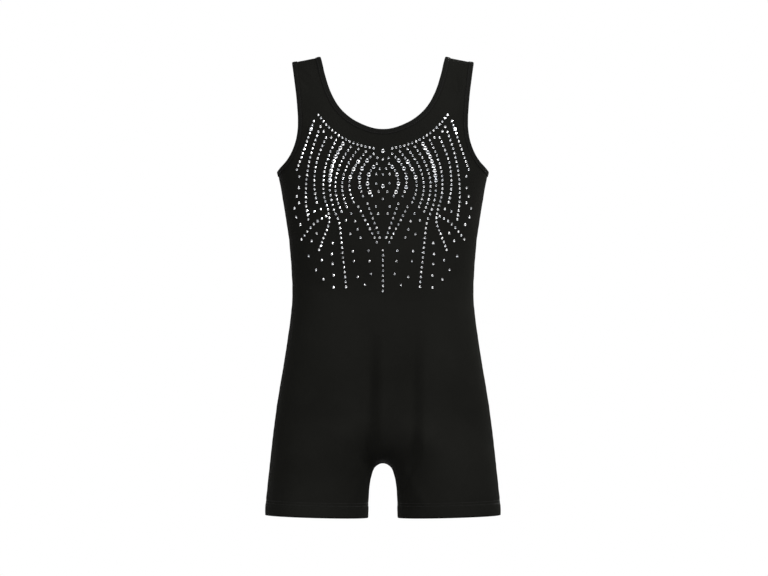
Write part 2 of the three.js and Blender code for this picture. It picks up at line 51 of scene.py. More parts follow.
cam = bpy.data.objects.new("camera", cam_data)
bpy.context.scene.collection.objects.link(cam)
cam.location = (0.0014, -CAM_DIST, -0.2956)
cam.rotation_euler = (math.pi / 2, 0, 0)
cam_data.sensor_width = 36
cam_data.lens = CAM_DIST * 36 / WIDTH_AT_GARMENT
cam_data.clip_end = 60
bpy.context.scene.camera = cam

# ------------------------------------------------- dimensions (mm), as in CAD
FABRIC, LINING, GAP = 0.9, 0.6, 0.35
BINDING_W, HEM_H = 7.0, 22.0
CHEST_Z, CROTCH_Z, LEG_R, LEG_INNER = -142.0, -523.6, 67.0, 19.0
SHOULDER_IN, SHOULDER_OUT, UNDERARM = (80.9, 5.1), (118.4, -2.3), (137.3, -144.2)
NECK_FRONT_Z, NECK_BACK_Z = -90.45, -139.5
HEM_IN, HEM_OUT = (19.1, -594.4), (153.2, -590.7)
SECTION_P, ARM_BACK_CUT, LEG_TOP_OUT = 2.2, 2.5, -512.0
F = 8              # fine grid steps for each CAD grid step
COLS, ROWS_LEG, ROWS_TRUNK, ROWS_YOKE = 9 * F, 4 * F, 13 * F, 9 * F
HEM_ROWS = 14

SIDE = [[-144.2, 137.3], [-155.2, 134.9], [-170.8, 131.9], [-186.4, 129.4], [-202, 126.8],
  [-217.6, 124.4], [-233.2, 122.1], [-248.8, 120.8], [-264.4, 119.5], [-280, 118.6], [-295.6, 117.9],
  [-311.2, 118.1], [-326.8, 119.5], [-342.4, 121.2], [-358, 123.5], [-373.6, 125.7], [-389.2, 128.3],
  [-404.8, 130.7], [-420.4, 133.5], [-436, 136], [-451.6, 138.5], [-467.2, 140.5], [-482.8, 142.5],
  [-498.4, 144.3], [-514, 146], [-529.6, 147.7], [-545.2, 149.4], [-560.8, 151], [-576.4, 152.6],
  [-590.7, 153.2], [-640, 155]]
SHOULDER_SWELL = [[60, 152], [0, 150], [-50, 146], [-100, 141.5], [-128, 138.6], [-144.2, 137.3]]
ARM_FRONT = [[-2.3, 118.4], [-14.8, 116.6], [-30.4, 114.5], [-46, 112.5], [-61.6, 111.1],
  [-77.2, 110.2], [-85, 110.2], [-92.8, 110.8], [-100.6, 112], [-108.4, 114], [-116.2, 116.9],
  [-124, 120.8], [-131.8, 126.1], [-139.6, 133.4], [-144.2, 137.3]]
NECK_FRONT = [[5.1, 80.9], [-4.4, 78.4], [-15, 76.1], [-23, 73.9], [-31, 71.6],
  [-38.9, 68.8], [-46.8, 65.3], [-54.7, 61.1], [-62.6, 55.6], [-70.5, 48], [-78.4, 37.5], [-86.25, 21.2],
  [-88.65, 13.9], [-89.85, 8], [-90.3, 4], [NECK_FRONT_Z, 0]]
NECK_BACK = [[5.1, 80.9], [-4, 80.2], [-15, 79.2], [-30, 77.5], [-50, 74.3], [-70, 69.5],
  [-90, 62.5], [-105, 54.5], [-120, 43], [-130, 31], [-137, 16], [-138.4, 10.6], [-139.1, 6.4],
  [-139.4, 3.2], [NECK_BACK_Z, 0]]
ARCH = [[CROTCH_Z, 0], [-523.7, 1.7], [-524, 3.2], [-524.6, 4.9], [-526, 7.2], [-527.8, 9.3], [-529.6, 10.9], [-537.4, 14.1], [-545.2, 16.1], [-553, 17.2],
  [-560.8, 17.9], [-568.6, 18.4], [-576.4, 18.6], [-594.4, 19.1], [-660, 20]]
DEPTH = [[80, 66, 60], [-142, 68, 62], [-207, 66, 60], [-255, 63.3, 56.3], [-298, 62, 55],
  [-335, 65, 58.5], [-370, 69, 65], [-405, 71.5, 73], [-440, 72, 79], [-475, 70.5, 80.5],
  [-523.6, 66.5, 75.5], [-560, 65, 70], [-594, 65, 68], [-660, 65, 68]]


# ------------------------------------------------------------ small helpers
def curve(rows, col=1):
    x = np.array([-r[0] for r in rows], float)
    y = np.array([r[col] for r in rows], float)
    h = np.diff(x); s = np.diff(y) / h
    m = np.zeros(len(x)); m[0], m[-1] = s[0], s[-1]
    for i in range(1, len(x) - 1):
        if s[i - 1] * s[i] > 0:
            w1, w2 = 2 * h[i] + h[i - 1], h[i] + 2 * h[i - 1]
            m[i] = (w1 + w2) / (w1 / s[i - 1] + w2 / s[i])

    def f(k):
        q = np.clip(-np.asarray(k, float), x[0], x[-1])
        i = np.clip(np.searchsorted(x, q) - 1, 0, len(x) - 2)
        t = (q - x[i]) / h[i]; t2, t3 = t * t, t * t * t
        return y[i] * (2 * t3 - 3 * t2 + 1) + m[i] * h[i] * (t3 - 2 * t2 + t) + y[i + 1] * (3 * t2 - 2 * t3) + m[i + 1] * h[i] * (t3 - t2)
    return f


def smooth(t):
    c = np.clip(t, 0, 1)
    return c * c * (3 - 2 * c)


def unit(a):
    return a / np.maximum(np.linalg.norm(a, axis=-1, keepdims=True), 1e-12)


class Noise:
    """Smooth seeded value noise on a repeating lattice, about -1 to 1."""
    def __init__(self, seed, n=64):
        self.g = np.random.RandomState(seed).uniform(-1, 1, (n, n)); self.n = n

    def __call__(self, u, v):
        u, v = np.broadcast_arrays(np.asarray(u, float), np.asarray(v, float))
        iu, iv = np.floor(u).astype(int), np.floor(v).astype(int)
        fu, fv = smooth(u - iu), smooth(v - iv); n = self.n
        g = lambda a, b: self.g[a % n, b % n]
        return (g(iu, iv) * (1 - fu) + g(iu + 1, iv) * fu) * (1 - fv) + (g(iu, iv + 1) * (1 - fu) + g(iu + 1, iv + 1) * fu) * fv


# --------------------------------------------------------- the body surface
sideW, swellW, archW = curve(SIDE), curve(SHOULDER_SWELL), curve(ARCH)
depthF, depthB = curve(DEPTH, 1), curve(DEPTH, 2)
SLOPE = (SHOULDER_OUT[1] - SHOULDER_IN[1]) / (SHOULDER_OUT[0] - SHOULDER_IN[0])


def z_top(x):
    return SHOULDER_IN[1] + (np.asarray(x) - SHOULDER_IN[0]) * SLOPE


def half_w(z):
    return np.where(z > UNDERARM[1], swellW(z), sideW(z))


_t = np.linspace(0, 1, 161)
_az = CROTCH_Z - 116 * _t ** 2
_ax = archW(_az); _ax[0] = 0
A0, A1 = np.stack([_ax[:-1], _az[:-1]], 1), np.stack([_ax[1:], _az[1:]], 1)
AD = A1 - A0
AL = (AD ** 2).sum(1)


def arch_distance(x, z):
    x, z = np.broadcast_arrays(np.asarray(x, float), np.asarray(z, float))
    out = np.full(x.shape, 999.0)
    near = z < CROTCH_Z + 140
    if near.any():
        px, pz = x[near], z[near]
        best = np.full(px.shape, 1e9)
        for k in range(len(A0)):
            t = np.clip(((px - A0[k, 0]) * AD[k, 0] + (pz - A0[k, 1]) * AD[k, 1]) / AL[k], 0, 1)
            best = np.minimum(best, np.hypot(px - A0[k, 0] - AD[k, 0] * t, pz - A0[k, 1] - AD[k, 1] * t))
        out[near] = np.where((pz < CROTCH_Z) & (px < archW(pz)), -best, best)
    return out


def depth2(x, z, side):
    ax = np.abs(x)
    g = (depthF if side < 0 else depthB)(z) ** 2
    up = np.maximum(z - CHEST_Z, 0) / (z_top(ax) - CHEST_Z)
    g = g * (1 - up ** (2 if side < 0 else 2.4))
    W = half_w(z); xi = LEG_INNER * smooth((CROTCH_Z + 15 - z) / 60)
    xm = smooth((CROTCH_Z + LEG_R - z) / LEG_R) * (W + xi) / 2
    g = g * (1 - (np.maximum(0, ax - xm) / (W - xm)) ** SECTION_P)
    q = 1 - np.minimum(arch_distance(ax, z) / LEG_R, 1)
    return g * (1 - q * q)


def normal(x, z, side):
    h = 0.02
    y = side * np.sqrt(np.maximum(0, depth2(x, z, side)))
    gx = (depth2(x + h, z, side) - depth2(x - h, z, side)) / (2 * h)
    gz = (depth2(x, z + h, side) - depth2(x, z - h, side)) / (2 * h)
    gx = np.where(np.abs(x) < 1e-9, 0, gx)
    return unit(np.stack([-gx, 2 * y, -gz], -1))


def on_body(x, z, side):
    return np.stack([x, side * np.sqrt(np.maximum(0, depth2(x, z, side))), z], -1)


# ------------------------------------------------------------ folds in cloth
n_big, n_mid, n_rib, n_small = Noise(3), Noise(11), Noise(23), Noise(31)


def ridge(x, z, x0, z0, x1, z1, width, amp, ends=0.35):
    """A soft fold along a straight line from (x0, z0) to (x1, z1)."""
    dx, dz = x1 - x0, z1 - z0
    L = math.hypot(dx, dz)
    t = ((x - x0) * dx + (z - z0) * dz) / (L * L)
    d = ((x - x0) * dz - (z - z0) * dx) / L
    win = smooth(t / ends) * smooth((1 - t) / ends)
    return amp * win * np.exp(-(d / width) ** 2)


def folds(x, z, side):
    """Height of the cloth over the body form, mm, for signed x."""
    ax = np.abs(x)
    w = 0.55 * n_big(x / 58 + 7.3 + side, z / 85 + 3.1) + 0.22 * n_mid(x / 21 + 1.7, z / 34 + side * 5)
    if side < 0:
        # long soft folds that rise from the crotch: each falls away slowly and turns up quickly
        t = (-315 - z) / 215
        knots, high = [-64, -18, 2, 39, 58, 106], [0, -5.6, 5.2, -5.8, 4.2, 0]
        q = np.clip(x + 3 * t, -64, 106); f = 0 * w
        for k in range(5):
            m = (q >= knots[k]) & (q < knots[k + 1])
            f = np.where(m, high[k] + (high[k + 1] - high[k]) * smooth((q - knots[k]) / (knots[k + 1] - knots[k])), f)
        w = w + f * smooth((-324 - z) / 90) * smooth((z + 538) / 42)
        # tension folds from the crotch into the legs
        w = w + ridge(x, z, -32, -484, -18, -544, 3.2, -1.2, 0.35) + ridge(x, z, -12, -520, -50, -588, 6.5, 1.2, 0.3)
        w = w + ridge(x, z, 43, -508, 21, -576, 4.0, -1.7, 0.35) + ridge(x, z, 20, -522, 62, -588, 7, 1.4, 0.3)
        w = w + ridge(x, z, -8, -512, -88, -470, 7, 0.8, 0.35) + ridge(x, z, 10, -512, 92, -476, 7, 0.8, 0.35)
        w = w + ridge(x, z, 8, -514, 16, -492, 2.6, -0.7, 0.3) + ridge(x, z, -14, -516, -20, -496, 2.6, -0.6, 0.3)
        # a little looseness under the arms and at the waist
        w = w + ridge(x, z, 112, -150, 84, -214, 7, -0.7) + ridge(x, z, -112, -150, -86, -210, 7, -0.6)
        w = w + ridge(x, z, 116, -268, 52, -300, 8, -0.6) + ridge(x, z, -116, -276, -58, -306, 8, -0.6)
        # creases at the tops of the straps
        w = w + ridge(x, z, -108, -6, -88, -24, 3.2, 1.4, 0.3) + ridge(x, z, -112, -20, -92, -40, 3.5, -0.9, 0.3)
        w = w + ridge(x, z, 91, -8, 97, -50, 3.4, 1.4, 0.3) + ridge(x, z, 104, -6, 107, -44, 3.4, 1.2, 0.3) + ridge(x, z, 98, -12, 102, -48, 2.6, -1.0, 0.3)
    else:
        # the hollow of the back gathers a little, and the seat pulls towards the crotch
        for k, zz in enumerate((-262, -284, -306, -330)):
            s = 1 if k % 2 else -1
            w = w + ridge(x, z, -84 + 9 * k, zz - 7 * s, 80 - 6 * k, zz + 7 * s, 6.5, 0.85 - 1.7 * (k % 2) * 0.4, 0.4)
        w = w + ridge(x, z, 0, -400, 0, -522, 8, -2.2, 0.45)
        w = w + ridge(x, z, -12, -518, -78, -486, 7, 1.2, 0.35) + ridge(x, z, 12, -518, 80, -490, 7, 1.2, 0.35)
        w = w + ridge(x, z, -14, -524, -60, -578, 6, 1.1, 0.3) + ridge(x, z, 14, -524, 58, -580, 6, 1.1, 0.3)
        w = w + ridge(x, z, -46, -150, -104, -196, 7, 0.6) + ridge(x, z, 48, -150, 102, -198, 7, 0.6)
    # folds die out at the seams and edges, where the cloth is held
    W = half_w(z)
    edge = smooth((W - ax) / 16) * smooth(arch_distance(ax, z) / 9) * smooth((z_top(ax) - z) / 10)
    w = w * edge
    # the side seam and inseam draw the cloth in and pucker it slightly
    dep = np.sqrt(np.maximum(depth2(x, z, side), 0))
    low = z < UNDERARM[1] + 4
    pucker = 0.16 * n_rib(z / 4.2, side * 3 + 9) * np.exp(-(dep / 6.0) ** 2)
    w = w + np.where(low, -0.75 * np.exp(-(dep / 1.5) ** 2) + pucker, -0.6 * np.exp(-((z_top(ax) - z) / 1.6) ** 2))
    # hem: a puff between the fold and the stitching, drawn in at the stitching
    hem = HEM_IN[1] + (ax - HEM_IN[0]) * (HEM_OUT[1] - HEM_IN[1]) / (HEM_OUT[0] - HEM_IN[0])
    a = z - hem
    w = w + 0.30 * smooth(a / 4) * smooth((17.5 - a) / 5) - 0.34 * np.exp(-((a - 19.6) / 1.1) ** 2) - 0.26 * np.exp(-((a - 16.0) / 0.9) ** 2)
    w = w + np.where(a < 26, 0.12 * n_rib(x / 5.0 + 40, side * 2.0) * smooth((26 - a) / 8), 0)
    return w


def place(x, z, side, b=0.0, base=None):
    """A point of the finished cloth: b above its outer face, mm."""
    P, N = base if base is not None else (on_body(x, z, side), normal(x, z, side))
    return P + N * (np.asarray(b) + folds(x, z, side))[..., None]


# ------------------------------------------------------------- sewing lines
def resample(line, side, count):
    line = np.asarray(line, float)
    p = on_body(line[:, 0], line[:, 1], side) if side else np.stack([line[:, 0], 0 * line[:, 0], line[:, 1]], 1)
    s = np.r_[0, np.cumsum(np.linalg.norm(np.diff(p, axis=0), axis=1))]
    q = np.linspace(0, s[-1], count + 1)
    out = np.stack([np.interp(q, s, line[:, 0]), np.interp(q, s, line[:, 1])], 1)
    out[0], out[-1] = line[0], line[-1]
    return out


def edge(side, which, count):
    neck = which == "neck"
    t = (1 - np.cos(np.pi * np.linspace(0, 1, 1201))) / 2
    if neck:
        z0, z1, tab = (NECK_FRONT_Z if side < 0 else NECK_BACK_Z), SHOULDER_IN[1], (NECK_FRONT if side < 0 else NECK_BACK)
        z = z0 + (z1 - z0) * t; x = curve(tab)(z)
        x[0], x[-1] = 0, SHOULDER_IN[0]
    else:
        z = UNDERARM[1] + (SHOULDER_OUT[1] - UNDERARM[1]) * t
        x = curve(ARM_FRONT)(z) - (ARM_BACK_CUT * np.sin(np.pi * t) if side > 0 else 0)
        x[0], x[-1] = UNDERARM[0], SHOULDER_OUT[0]
    return resample(np.stack([x, z], 1), side, count)


def inset(e, side, which, dist):
    """The edge line moved into the cloth by dist, measured on the surface."""
    neck = which == "neck"
    P = on_body(e[:, 0], e[:, 1], side); N = normal(e[:, 0], e[:, 1], side)
    T = np.zeros_like(P); T[1:-1] = P[2:] - P[:-2]; T[0] = P[1] - P[0]; T[-1] = P[-1] - P[-2]
    M = unit(np.cross(N, unit(T)))
    want = np.array([0.3, 0, -1.0]) if neck else np.array([-1.0, 0, -0.6])
    M *= np.sign((M @ want))[:, None]
    out = np.stack([e[:, 0] + M[:, 0] * dist, e[:, 1] + M[:, 2] * dist], 1)
    c = math.cos(math.atan(SLOPE)); s = 1 if neck else -1
    out[-1] = [e[-1, 0] + s * dist * c, e[-1, 1] + s * dist * c * SLOPE]
    z0 = e[0, 1] - dist
    out[0] = [0, z0] if neck else [float(sideW(z0)), z0]
    return out


PANEL_IN = 1.4      # the panel's raw edge lies this far inside the finished edge
JH = HEM_ROWS
JC, JN = JH + ROWS_LEG, JH + ROWS_LEG + ROWS_TRUNK
JT = JN + ROWS_YOKE


def make_grid(side, tuck=PANEL_IN):
    inner, outer = [], []
    for h in np.linspace(0.6, HEM_H, JH + 1):
        inner.append([float(archW(HEM_IN[1] + h)), HEM_IN[1] + h])
        outer.append([float(sideW(HEM_OUT[1] + h)), HEM_OUT[1] + h])
    z0 = HEM_IN[1] + HEM_H
    z = CROTCH_Z + (z0 - CROTCH_Z) * np.linspace(1, 0, 801) ** 2
    x = archW(z); x[-1] = 0
    arch = resample(np.stack([x, z], 1), 0, ROWS_LEG)
    for k in range(1, ROWS_LEG + 1):
        inner.append(arch[k])
        zz = HEM_OUT[1] + HEM_H + (LEG_TOP_OUT - HEM_OUT[1] - HEM_H) * k / ROWS_LEG
        outer.append([float(sideW(zz)), zz])
    neck = inset(edge(side, "neck", ROWS_YOKE), side, "neck", tuck)
    arm = inset(edge(side, "arm", ROWS_YOKE), side, "arm", tuck)
    z = CROTCH_Z + (neck[0, 1] - CROTCH_Z) * np.linspace(0, 1, 1201) ** 2
    mid = resample(np.stack([0 * z, z], 1), side, ROWS_TRUNK)
    for k in range(1, ROWS_TRUNK + 1):
        inner.append(mid[k])
        zz = LEG_TOP_OUT + (arm[0, 1] - LEG_TOP_OUT) * k / ROWS_TRUNK
        outer.append([float(sideW(zz)), zz])
    inner += list(neck[1:]); outer += list(arm[1:])
    t = (1 - np.cos(np.pi * np.linspace(0, 1, 241))) / 2
    X = np.zeros((JT + 1, COLS + 1)); Z = X.copy(); U = X.copy()
    for j, (a, b) in enumerate(zip(inner, outer)):
        line = np.asarray(a)[None] + (np.asarray(b) - np.asarray(a))[None] * t[:, None]
        r = resample(line, side, COLS)
        X[j], Z[j] = r[:, 0], r[:, 1]
        p = on_body(r[:, 0], r[:, 1], side)
        U[j] = np.r_[0, np.cumsum(np.linalg.norm(np.diff(p, axis=0), axis=1))]
        U[j] += p[0, 0]
    V = Z.copy()
    P, N = on_body(X, Z, side), normal(X, Z, side)
    seam = np.zeros(X.shape, bool)
    seam[:JC + 1, 0] = True; seam[:JN + 1, -1] = True; seam[JT, :] = True
    P[seam, 1] = 0; N[seam, 1] = 0; N = unit(N)
    return dict(X=X, Z=Z, P=P, N=N, U=U, V=V, side=side)


GRID = {-1: make_grid(-1), 1: make_grid(1)}
LINING_GRID = {-1: make_grid(-1, 6.4)}    # the chest lining ends inside the bindings, beside the elastic
LEFT, RIGHT = 1, -1


# -------------------------------------------------------------- mesh makers
def mesh_object(name, verts_mm, faces, uv=None, smooth_shade=True, sharp=None):
    me = bpy.data.meshes.new(name)
    v = np.ascontiguousarray(np.asarray(verts_mm, np.float64) / 1000.0)
    me.from_pydata(v.tolist(), [], faces if isinstance(faces, list) else faces.tolist())
    if uv is not None:
        layer = me.uv_layers.new(name="UVMap")
        idx = np.zeros(len(me.loops), np.int32); me.loops.foreach_get("vertex_index", idx)
        layer.data.foreach_set("uv", np.asarray(uv, np.float64)[idx].ravel())
    me.validate()
    me.polygons.foreach_set("use_smooth", np.full(len(me.polygons), smooth_shade))
    me.update()
    o = bpy.data.objects.new(name, me)
    bpy.context.scene.collection.objects.link(o)
    return o


def cloth_piece(name, sides=(-1,), halves=(1, -1), i0=0, i1=None, j0=0, j1=None, joined=False,
                outer=0.0, inner=-FABRIC, gap=0.06, grid=None):
    """One closed solid from part of the grid, between two offsets."""
    i1 = COLS if i1 is None else i1
    j1 = JT if j1 is None else j1
    Vp, Vn, Vu, Vx, quads, base = [], [], [], [], [], 0
    for side in sides:
        G = (grid or GRID)[side]
        P, N = G["P"][j0:j1 + 1, i0:i1 + 1].copy(), G["N"][j0:j1 + 1, i0:i1 + 1].copy()
        X, Z = G["X"][j0:j1 + 1, i0:i1 + 1], G["Z"][j0:j1 + 1, i0:i1 + 1]
        if not joined:
            P[..., 1] = np.where(np.abs(P[..., 1]) < gap, side * gap, P[..., 1])
        for half in halves:
            w = folds(X * half, Z, side)
            p = P * [half, 1, 1]; n = N * [half, 1, 1]
            nj, ni = X.shape
            idx = base + np.arange(nj * ni).reshape(nj, ni)
            q = np.stack([idx[:-1, :-1], idx[:-1, 1:], idx[1:, 1:], idx[1:, :-1]], -1).reshape(-1, 4)
            if (half < 0) != (side > 0):
                q = q[:, ::-1]
            quads.append(q)
            Vp.append(p.reshape(-1, 3)); Vn.append(n.reshape(-1, 3))
            Vx.append(w.reshape(-1))
            Vu.append(np.stack([G["U"][j0:j1 + 1, i0:i1 + 1] * half / 1000 + 3 * side, G["V"][j0:j1 + 1, i0:i1 + 1] / 1000], -1).reshape(-1, 2))
            base += nj * ni
    Vp, Vn, Vx, Vu, quads = map(np.concatenate, (Vp, Vn, Vx, Vu, quads))
    key = np.round(Vp * 1000).astype(np.int64)
    _, first, inv = np.unique(key, axis=0, return_index=True, return_inverse=True)
    inv = inv.reshape(-1)
    Vp, Vn, Vx, Vu, quads = Vp[first], Vn[first], Vx[first], Vu[first], inv[quads]
    n = len(Vp)
    top = Vp + Vn * (outer + Vx)[:, None]
    bot = Vp + Vn * (inner + Vx)[:, None]
    e = np.concatenate([quads[:, [0, 1]], quads[:, [1, 2]], quads[:, [2, 3]], quads[:, [3, 0]]])
    e = e[e[:, 0] != e[:, 1]]
    k, r = e[:, 0].astype(np.int64) * n + e[:, 1], e[:, 1].astype(np.int64) * n + e[:, 0]
    rim = e[~np.isin(k, r)]
    faces = np.concatenate([quads, quads[:, ::-1] + n, np.stack([rim[:, 1], rim[:, 0], rim[:, 0] + n, rim[:, 1] + n], -1)])
    tri = [[v for i, v in enumerate(f) if v != f[i - 1]] for f in faces.tolist()]
    tri = [f for f in tri if len(f) > 2]
    return mesh_object(name, np.concatenate([top, bot]), tri, np.concatenate([Vu, Vu]))


def loft(name, sec, closed, uv=None, smooth_shade=True, cap=True):
    """sec[k, s] are cross-section points, mm; one closed solid."""
    K, S = sec.shape[:2]
    idx = np.arange(K * S).reshape(K, S)
    nxt = np.roll(idx, -1, 0) if closed else idx[1:]
    cur = idx if closed else idx[:-1]
    q = np.stack([cur, np.roll(cur, -1, 1), np.roll(nxt, -1, 1), nxt], -1).reshape(-1, 4).tolist()
    if not closed and cap:
        q += [idx[0][::-1].tolist(), idx[-1].tolist()]
    v = sec.reshape(-1, 3)
    a = np.array([f[:4] for f in q if len(f) == 4])
    vol = np.einsum("ij,ij->i", v[a[:, 0]], np.cross(v[a[:, 1]], v[a[:, 2]])).sum() + np.einsum("ij,ij->i", v[a[:, 0]], np.cross(v[a[:, 2]], v[a[:, 3]])).sum()
    if vol < 0:
        q = [f[::-1] for f in q]
    return mesh_object(name, v, q, uv, smooth_shade)


def solid_many(name, parts, smooth_shade=False):
    """Joins many small closed solids, each (verts, faces), into one object."""
    V, Fc, b = [], [], 0
    for v, f in parts:
        V.append(v); Fc += [[i + b for i in q] for q in f]; b += len(v)
    return mesh_object(name, np.concatenate(V), Fc, None, smooth_shade)


# ---------------------------------------------------------- edges and bands
class Band:
    """The strip along a finished edge, as a closed ring of stations."""
    def __init__(self, which, count, hand=1):
        E, Fi, Sd = [], [], []
        def leg(side, half, rev, sl):
            e = edge(side, which, count); f = inset(e, side, which, BINDING_W)
            e, f = e * [half, 1], f * [half, 1]
            if rev:
                e, f = e[::-1], f[::-1]
            e, f = e[sl], f[sl]
            E.append(e); Fi.append(f); Sd.append(np.full(len(e), side))
        if which == "arm":
            leg(-1, 1, False, slice(None)); leg(1, 1, True, slice(1, -1))
        else:
            leg(-1, 1, False, slice(None)); leg(1, 1, True, slice(1, None))
            leg(1, -1, False, slice(1, None)); leg(-1, -1, True, slice(1, -1))
        self.E, self.F, self.side = np.concatenate(E) * [hand, 1], np.concatenate(Fi) * [hand, 1], np.concatenate(Sd)
        self.which = which

    def frame(self, q):
        P, N = np.zeros((len(q), 3)), np.zeros((len(q), 3)); W = np.zeros(len(q))
        for side in (-1, 1):
            m = self.side == side
            x, z = q[m, 0], q[m, 1]
            P[m], N[m] = on_body(np.abs(x), z, side), normal(np.abs(x), z, side)
            P[m, 0] *= np.sign(x) + (x == 0); N[m, 0] *= np.sign(x) + (x == 0)
            W[m] = folds(x, z, side)
        flat = np.abs(P[:, 1]) < 0.35
        P[flat, 1] = 0; N[flat, 1] = 0
        return P, unit(N), W

    def at(self, a, b, ripple=0.0, seed=0):
        """Points a mm in from the edge and b mm above the cloth."""
        if not hasattr(self, "fE"):
            self.fE, self.fF = self.frame(self.E), self.frame(self.F)
            mid = (self.E + self.F) / 2
            self.fM = self.frame(mid)
            L = np.linalg.norm(np.diff(np.r_[self.fE[0], self.fE[0][:1]], axis=0), axis=1)
            self.s = np.r_[0, np.cumsum(L)[:-1]]; self.total = L.sum()
        t = a / BINDING_W
        w0, w1, w2 = (1 - t) * (1 - 2 * t), 4 * t * (1 - t), t * (2 * t - 1)
        P = self.fE[0] * w0 + self.fM[0] * w1 + self.fF[0] * w2
        N = unit(self.fE[1] * (1 - t) + self.fF[1] * t)
        W = self.fE[2] * (1 - t) + self.fF[2] * t
        r = 0
        if ripple:
            k = round(self.total / 5.5)
            r = ripple * n_rib(self.s / self.total * 64, a / 2.6 + seed)
            r = r + 0.35 * ripple * np.sin(2 * np.pi * k * self.s / self.total)
        return P + N * (b + W + r)[:, None]

    def up(self, a):
        return unit(self.fE[1] * (1 - a / BINDING_W) + self.fF[1] * a / BINDING_W)


NS = 110
neck_band, arm_band = Band("neck", NS), {LEFT: Band("arm", NS, 1), RIGHT: Band("arm", NS, -1)}


def rounded_channel():
    """Section of a folded binding, outer leaf to inner leaf: (a, b over the lined
    front, ripple share, b over the unlined back)."""
    s = [(7.0, 0.16, 0.2), (7.02, 0.50, 0.4), (6.72, 0.68, 0.7), (6.0, 0.70, 0.8), (5.45, 0.58, 0.5), (4.9, 0.76, 1.0), (3.4, 0.92, 1.0), (1.8, 0.88, 1.0)]
    s += [(0.75, 0.62, 0.7), (0.2, 0.05, 0.4), (0.0, -0.8, 0.2), (0.2, -1.75, 0.2), (0.75, -2.3, 0.3, -2.15), (1.8, -2.55, 0.4, -2.35), (3.6, -2.6, 0.4, -2.4), (4.9, -2.5, 0.4, -2.25), (5.45, -2.36, 0.3, -1.95)]
    s += [(6.0, -2.5, 0.3, -1.72), (6.7, -2.48, 0.2, -1.62), (6.95, -2.35, 0.2, -1.45), (7.0, -2.02, 0.2, -1.06), (6.3, -1.93, 0, -1.0), (5.75, -1.93, 0, -1.35), (5.6, -1.93, 0, -1.74), (1.6, -1.85, 0, -1.74), (0.9, -1.3, 0), (0.8, -0.75, 0), (0.95, -0.2, 0), (1.6, 0.02, 0), (4.5, 0.06, 0)]
    return [(q[0], q[1], q[2], q[3] if len(q) > 3 else q[1]) for q in s]


def band_piece(name, band, section, ripple=0.11, seed=0):
    k = np.ones(9) / 9
    back = np.convolve(np.r_[band.side[-4:], band.side, band.side[:4]] > 0, k, "valid")
    section = [(q[0], q[1], q[2], q[3] if len(q) > 3 else q[1]) for q in section]
    sec = np.stack([band.at(a, b0 * (1 - back) + b1 * back, ripple * r, seed) for a, b0, r, b1 in section], 1)
    K, S = sec.shape[:2]
    u = np.repeat(band.s[:, None], S, 1) / 1000
    acc = np.r_[0, np.cumsum([math.hypot(section[i + 1][0] - section[i][0], section[i + 1][1] - section[i][1]) for i in range(S - 1)])] / 1000
    uv = np.stack([np.repeat(acc[None], K, 0), u], -1).reshape(-1, 2)
    return loft(name, sec, True, uv)


def capsule(p0, p1, up, r, sides=6, rise=0.0):
    """A short sewn stitch from p0 to p1, round in section, dipping in at its ends."""
    t = unit(p1 - p0); w = unit(np.cross(up, t)); u = unit(np.cross(t, w))
    L = np.linalg.norm(p1 - p0)
    st = [(0.0, 0.30, -0.55), (0.14, 0.8, -0.1), (0.35, 1.0, 0.25), (0.65, 1.0, 0.25), (0.86, 0.8, -0.1), (1.0, 0.30, -0.55)]
    ang = np.arange(sides) * 2 * np.pi / sides
    v = [p0 + t * L * a + u * (r * h + rise) + np.outer(np.cos(ang) * r * k, w) + np.outer(np.sin(ang) * r * k * 0.75, u) for a, k, h in st]
    v = np.concatenate(v); n = len(st)
    f = [[k * sides + i, k * sides + (i + 1) % sides, (k + 1) * sides + (i + 1) % sides, (k + 1) * sides + i] for k in range(n - 1) for i in range(sides)]
    f += [list(range(sides))[::-1], [(n - 1) * sides + i for i in range(sides)]]
    return v, f


def stitch_line(P, N, pitch=3.0, length=2.45, r=0.2, closed=True, start=0.0):
    """Stitches along the polyline P with normals N."""
    Q = np.r_[P, P[:1]] if closed else P
    M = np.r_[N, N[:1]] if closed else N
    s = np.r_[0, np.cumsum(np.linalg.norm(np.diff(Q, axis=0), axis=1))]
    n = max(1, int(round(s[-1] / pitch))); step = s[-1] / n; out = []
    at = lambda q: np.array([np.interp(q, s, Q[:, k]) for k in range(3)])
    nt = lambda q: np.array([np.interp(q, s, M[:, k]) for k in range(3)])
    for k in range(n):
        a = start + k * step; b = a + step * length / pitch
        if b > s[-1]:
            continue
        out.append(capsule(at(a), at(b), unit(nt((a + b) / 2)), r))
    return out


# ------------------------------------------------------------------ crystals
def stone(p, n, t, r, facets, rng):
    """A flat-back cut stone: flat table, two rings of facets, girdle and base."""
    tilt = rng.uniform(-0.05, 0.05, 2)
    w = unit(np.cross(n, t)); n2 = unit(n + w * tilt[0] + t * tilt[1])
    w = unit(np.cross(n2, t)); t2 = unit(np.cross(w, n2))
    a0 = rng.uniform(0, 2 * np.pi)
    h = 0.82 * r
    def ring(rad, height, off):
        a = a0 + (np.arange(facets) + off) * 2 * np.pi / facets
        return p + n2 * height + np.outer(np.cos(a) * rad, t2) + np.outer(np.sin(a) * rad, w)
    rings = [ring(r * 0.97, 0.02, 0), ring(r, 0.22 * h, 0), ring(r * 0.78, 0.66 * h, 0.5), ring(r * 0.46, h, 0)]
    v = np.concatenate(rings); m = facets; f = [list(range(m))[::-1]]
    for i in range(m):
        j = (i + 1) % m
        f.append([i, j, m + j, m + i])
        f.append([m + i, m + j, 2 * m + i])
        f.append([m + j, 2 * m + j, 2 * m + i])
        f.append([2 * m + i, 2 * m + j, 3 * m + j])
        f.append([2 * m + i, 3 * m + j, 3 * m + i])
    f.append([3 * m + i for i in range(m)])
    return v, f


SMALL_R, LARGE_R = 1.84, 3.08
